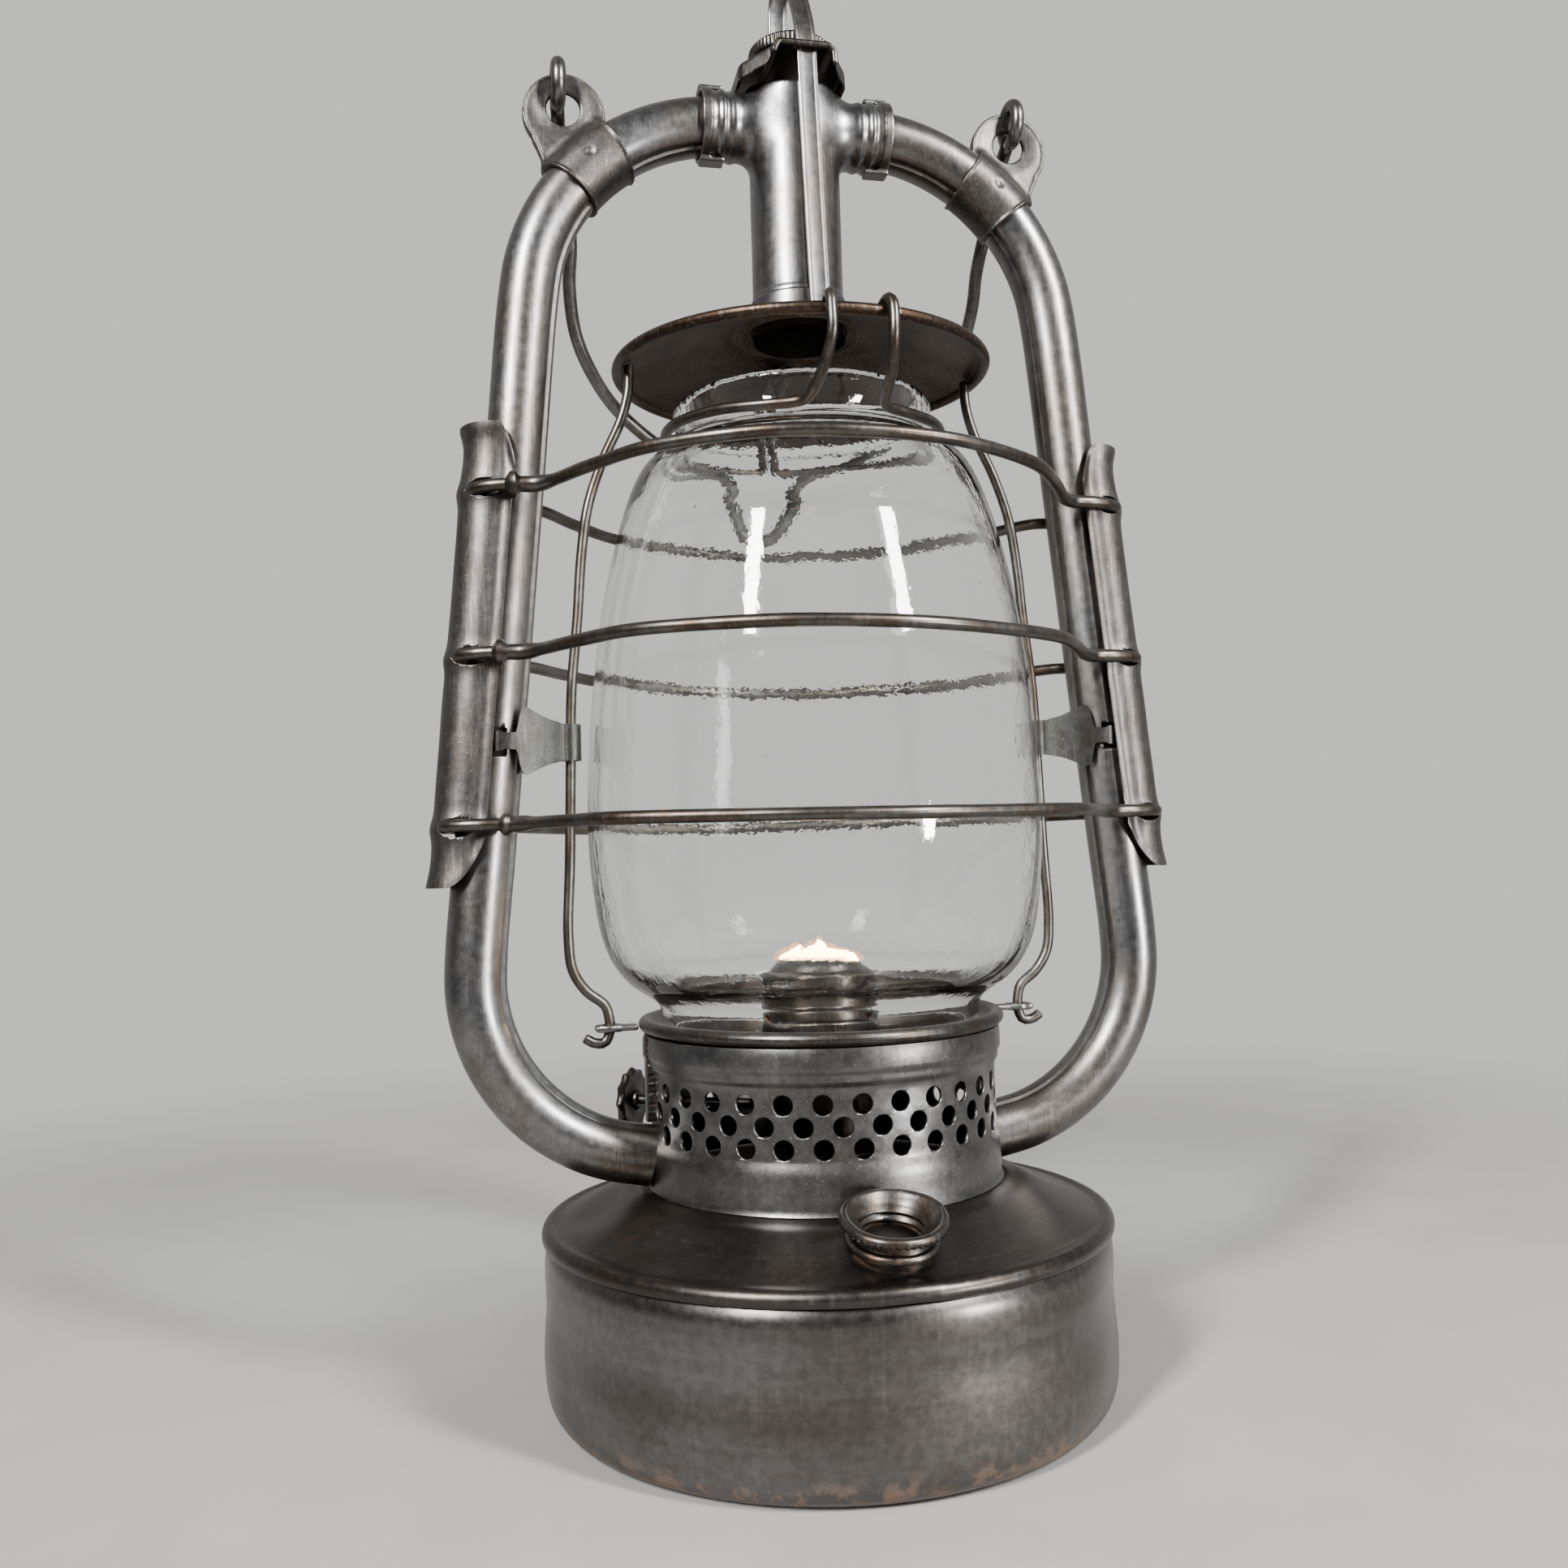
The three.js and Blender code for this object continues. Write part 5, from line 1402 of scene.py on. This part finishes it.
def guard_wire(level):
    """One wire all round, its ends sleeved together in a collar by the left-hand shield. Returns
    its points and where it is thicker."""
    z = WIRE_HEIGHTS[level]
    x = tube_x(z)

    def quarter(reach):
        return [(x + 10.1, 6.9), (x + 6.6, 10.2), (x + 1.5, 11.9), (x - 6.5, 13.2),
                (x - 17.5, 29), (x - 30, 45.5), (26, reach - 4.6), (13, reach - 1)]

    front = [(a, -b) for a, b in quarter(GUARD_FRONT_REACH)]
    rear = quarter(GUARD_REAR_REACH)
    loop = [(x + 10.8, 0), *front, (0, -GUARD_FRONT_REACH), *[(-a, b) for a, b in front[::-1]],
            (-x - 10.8, 0), *[(-a, b) for a, b in rear], (0, GUARD_REAR_REACH), *rear[::-1]]
    points = [(a, b, z + 0.5 * math.sin(a / 31 + z)) for a, b in loop]
    collar = (-x + COLLAR_INSETS[level], -12.2, z)
    beside_collar = (collar[0] + 4.6, collar[1] - 0.7, z)
    return points, [(collar, 1.25, 0.95), (beside_collar, 0.30, 4.8), ((x - 4, -12.9, z), 0.14, 8.0)]


def guide_clip():
    """A butterfly of spring sheet: hooked into the tube's slot, curled round the side wire."""
    curl = arc((CLIP_WIRE_X, 0), 2.55, -52, -52 - 262, 22)
    tail = [(84.2, -7.0), (83.2, -8.3), (81.5, -8.35), (79, -7.9), (76.5, -7.1), (73, -5.7),
            (69.5, -3.9)]
    plan = smooth_path(tail + curl, 0.45)
    reach = plan[:, 0].copy()
    innermost = np.argmin(reach)
    reach[innermost:] = reach[innermost]
    half = np.interp(reach, [60, 66.5, 70.5, 73.6, 75.6, 76.9, 77.6, 78.0, 78.5, 81.5, 82, 84.4],
                     [4.6, 4.8, 5.9, 7.4, 8.5, 8.3, 6.8, 4.2, 2.2, 2.0, 2.5, 2.5])
    z = CLIP_Z + half[:, None] * np.linspace(-1, 1, 15)[None, :]
    layers = []
    for sign in (-1, 1):
        line = plan + sign * 0.38 * left_of(plan)
        layers.append(np.stack([line[:, :1] + 0 * z, line[:, 1:] + 0 * z, z], axis=-1))
    return sheet(*layers)


def bail_points():
    """The bail as it hangs below its pivots, before it is swung back to where it rests."""
    x, z, r = BAIL_EYE_X, BAIL_PIVOT_Z, BAIL_EYE_RADIUS
    angles = np.linspace(-0.45, 1.39, 11) * math.pi
    eye = [(x, r * math.cos(a), z + r * math.sin(a)) for a in angles]
    side = [
        (x - 0.8, 3.4, z - 14), (61.6, 0.6, z - 26), (60.2, 0, z - 40), (60.4, 0, z - 51),
        (58.4, 0, z - 64), (54, 0, z - 74), (47, 0, z - 84), (36, 0, z - 93.5),
        (24, 0, z - 100.5), (15.5, 0, z - 104), (11.5, 0, z - 108), (8.6, 0, z - 116),
        (5, 0, z - 123),
    ]
    half = [*eye[::-1], *side]
    whole = half + [(0, 0, z - 124.6)] + [(-a, b, c) for a, b, c in half[::-1]]
    swing = np.array(shift(0, 0, z) @ turn(BAIL_TILT, "X") @ shift(0, 0, -z))
    return np.array(whole) @ swing[:3, :3].T + swing[:3, 3]


# ------------------------------------------------------------------ the lantern

piece("tank_body_fine", tank_body(), ["tank_body"], "burnished_steel", "tank_steel")
piece("tank_top_fine", tank_top(), ["tank_top"], "dark_steel", "deck_steel")
piece("filler_neck_fine", filler_neck(), ["filler_neck"], "rusted_steel")
piece("air_band_fine", air_band(), ["air_band"], "burnished_steel", "band_steel")
extra("air_band_seam", band_seam(), "frame", "burnished_steel", "rusted_steel")

shape, cuts = burner_collar()
piece("burner_collar_fine", shape, ["burner_collar"], "burner_steel", cutters=cuts)
for name, (shape, cuts) in (("burner_body", burner_body()), ("burner_cone", burner_cone()),
                            ("wick_tube", wick_tube())):
    piece(f"{name}_fine", moved(shape, turn(BURNER_TURN)), [name], "burner_steel",
          cutters=[moved(cut, turn(BURNER_TURN)) for cut in cuts])
wick_ends = (corner[2] for corner in span("wick"))
piece("wick_fine", moved(slab(18, 2.6, *wick_ends, 1.2), turn(BURNER_TURN)), ["wick"], "cotton")
piece("wick_shaft_fine", wick_shaft(), ["wick_shaft"], "burner_steel", "rusted_steel")
piece("wick_knob_fine", moved(knob(), along_shaft(KNOB_DISTANCE)), ["wick_knob"], "dark_steel")

plate_shape, plate_holes = globe_plate()
piece("globe_plate_fine", plate_shape, ["globe_plate"], "dark_steel", "plate_steel", cutters=plate_holes)
for side, tab in (("right", plate_tab()), ("left", mirrored(plate_tab()))):
    extra(f"globe_plate_tab_{side}", tab, "globe_lift", "dark_steel", "burnished_steel")
piece("globe_fine", globe(), ["globe"], "glass", sharp=180)
extra("globe_seeds", bubbles(), "globe_lift", "glass", "glass", 180)

hood_shape, hood_notches = hood()
piece("hood_fine", hood_shape, ["hood"], "dark_steel", "hood_steel", cutters=hood_notches)
piece("hood_collar_fine", hood_collar(), ["hood_collar"], "burnished_steel")
piece("lift_strip_fine", lift_strip(), ["lift_strip"], "burnished_steel")
neck = np.array(neck_wire())
for side, sign in (("right", 1), ("left", -1)):
    line = (neck * [sign, 1, 1]) @ np.array(turn(NECK_TURN))[:3, :3].T
    piece(f"neck_wire_fine_{side}", wire(line, NECK_WIRE_RADIUS, seed=30 + sign),
          [f"neck_wire_{side}"], "wire_steel")
pair("side_wire", wire(side_wire(), SIDE_WIRE_RADIUS, seed=40), "wire_steel")

piece("chimney_tee_fine", chimney_tee(), ["chimney_tee"], "burnished_steel", sharp=50)
pair("arm_band", arm_band(), "burnished_steel", sharp=50)
piece("rain_cap_fine", rain_cap(), ["rain_cap"], "dark_steel", sharp=50)
piece("vent_lid_fine", vent_lid(), ["vent_lid"], "dark_steel")
pair("air_tube", air_tube(), "burnished_steel", cutters=[clip_slot()])
pair("bail_ear", bail_ear(), "burnished_steel", "shield_steel", sharp=50)
shield_shape, shield_holes = shield()
pair("shield", shield_shape, "burnished_steel", "shield_steel", cutters=shield_holes)
pair("guide_clip", guide_clip(), "burnished_steel", "clip_steel")
for level, z in WIRE_HEIGHTS.items():
    points, knots = guard_wire(level)
    piece(f"guard_wire_fine_{level}", wire(points, GUARD_WIRE_RADIUS, True, seed=int(z), knots=knots),
          [f"guard_wire_{level}"], "wire_steel")
piece("bail_fine", wire(bail_points(), BAIL_RADIUS, seed=60), ["bail"], "wire_steel", "bail_steel")


# ------------------------------------------------------------------ flame, floor, light, camera


def flame():
    """A low ragged crescent of fire along the slot."""
    rows, columns = 26, 40
    t = np.linspace(0, 1, rows)[:, None]
    a = np.arange(columns)[None, :] * TAU / columns
    x = 11.2 * np.cos(a) * (1 - 0.5 * t ** 3)
    top = 2.6 * np.sqrt(np.clip(1 - (np.cos(a) * 0.96) ** 2, 0, 1)) + 2.2
    top = top + 0.8 * np.sin(5.3 * np.cos(a) + 1.2) + 0.5 * np.sin(13 * np.cos(a))
    y = 2.3 * np.sin(a) * (1 - t ** 2)
    z = FLAME_Z + t * top
    vertices = np.stack([x, y + 0 * x, z + 0 * x], axis=-1).reshape(-1, 3)
    faces = grid_faces(rows, columns)
    faces.append(list(range(columns))[::-1])
    return vertices, faces


def staged(name, shape, material):
    """A glowing piece that belongs to the stage and not to the lantern: the flame, its glow, and a disc of
    painted firelight inside the burner.
    """
    mesh_object(name, moved(shape, turn(BURNER_TURN)), material)


staged("flame", flame(), glowing("fire", (1.0, 0.66, 0.36), 60.0))
# A glowing disc inside the draft tube: painted light for the flame's orange light on the burner's inside,
# seen through its oval holes.
staged("painted_burner_glow", prism(circle(9.5, 40), 98.2, 101.6), glowing("painted_burner_glow", (1.0, 0.26, 0.05), 7.0))
for number, grow in enumerate((1.07, 1.16)):
    vertices, faces = flame()
    centre = np.array([0, 0, FLAME_Z])
    wider = centre + (vertices - centre) * [grow, grow + 0.2, grow + 0.06]
    staged(f"flame_glow_{number}", (wider, faces), fire_glow())


LAMP_WIDTH = 0.16
LAMPS_FACE = Vector((0, 0, 0.19))


def lamp(name, azimuth, elevation, distance, height, energy, colour):
    """A soft upright light that faces the lantern's middle from a bearing round it."""
    data = bpy.data.lights.new(name, "AREA")
    data.shape = "RECTANGLE"
    data.size, data.size_y = LAMP_WIDTH, height
    data.energy = energy
    data.color = colour
    made = bpy.data.objects.new(name, data)
    a, e = math.radians(azimuth), math.radians(elevation)
    away = Vector((math.cos(a) * math.cos(e), math.sin(a) * math.cos(e), math.sin(e)))
    made.location = LAMPS_FACE + away * distance
    made.rotation_euler = away.to_track_quat("Z", "Y").to_euler()
    bpy.context.scene.collection.objects.link(made)


def floor():
    """A plain sheet under the lantern."""
    reach = 3.0
    mesh = bpy.data.meshes.new("floor")
    corners = [(-reach, -reach, 0), (reach, -reach, 0), (reach, reach, 0), (-reach, reach, 0)]
    mesh.from_pydata(corners, [], [(0, 1, 2, 3)])
    mesh.materials.append(pale_floor())
    made = bpy.data.objects.new("floor", mesh)
    bpy.context.scene.collection.objects.link(made)


floor()
lamp("left", -133.5, 31, 1.4, 0.5, 58, (1.0, 0.99, 0.975))
lamp("right", -52, 31, 1.4, 0.5, 46, (1.0, 0.99, 0.975))
lamp("low_right", -48, -3, 1.5, 0.16, 22, (1.0, 0.985, 0.97))


def fire_light():
    """The flame's own warm light on what stands near it, itself unseen."""
    data = bpy.data.lights.new("glow", "POINT")
    data.energy = 0.34
    data.color = (1.0, 0.55, 0.25)
    data.shadow_soft_size = 0.006
    made = bpy.data.objects.new("glow", data)
    made.location = (0, 0, 0.121)
    made.visible_camera = made.visible_transmission = made.visible_glossy = False
    bpy.context.scene.collection.objects.link(made)


fire_light()


def surroundings():
    """A pale room that the camera sees plain, while metal mirrors its lighter and darker sides."""
    world = bpy.data.worlds.new("studio")
    bpy.context.scene.world = world
    studio = Shading(world)
    plain = studio.nodes["Background"]
    plain.inputs["Color"].default_value = (0.60, 0.595, 0.585, 1)
    plain.inputs["Strength"].default_value = 1.25
    room = studio.add("Background", {"Color": (1.0, 0.985, 0.965, 1)})
    split = studio.add("SeparateXYZ", {0: studio.add("TexCoord").outputs["Generated"]})
    behind, right, above = (
        studio.ramp(split.outputs[axis], low, high, 0.008, most)
        for axis, low, high, most in (("Y", -0.4, 0.8, 0.42), ("X", 0.3, 1.0, 0.20), ("Z", 0.6, 1.0, 0.09))
    )
    studio.put(room.inputs["Strength"], studio.plus(studio.plus(behind, right), above))
    rays = studio.add("LightPath").outputs
    seen = studio.maths("MAXIMUM", rays["Is Camera Ray"], rays["Is Transmission Ray"])
    studio.blend(seen, room.outputs[0], plain.outputs[0], "World Output")


surroundings()


def camera():
    """Low and a little to the left, close in front, looking slightly up."""
    azimuth, pitch, roll = map(math.radians, (-12.3367, 3.26, -1.71))
    place = np.array([-87.12, -361.60, 137.80]) * MM
    forward = np.array([-math.sin(azimuth) * math.cos(pitch), math.cos(azimuth) * math.cos(pitch),
                        math.sin(pitch)])
    level = np.cross(forward, (0, 0, 1))
    level /= np.linalg.norm(level)
    upright = np.cross(level, forward)
    right = level * math.cos(roll) + upright * math.sin(roll)
    up = -level * math.sin(roll) + upright * math.cos(roll)
    data = bpy.data.cameras.new("camera")
    data.sensor_width = 36
    data.lens = 31.77
    data.clip_start = 0.01
    made = bpy.data.objects.new("camera", data)
    matrix = np.eye(4)
    matrix[:3] = np.stack([right, up, -forward, place], axis=1)
    made.matrix_world = Matrix(matrix.tolist())
    bpy.context.scene.collection.objects.link(made)
    bpy.context.scene.camera = made


camera()

bpy.context.view_layer.update()
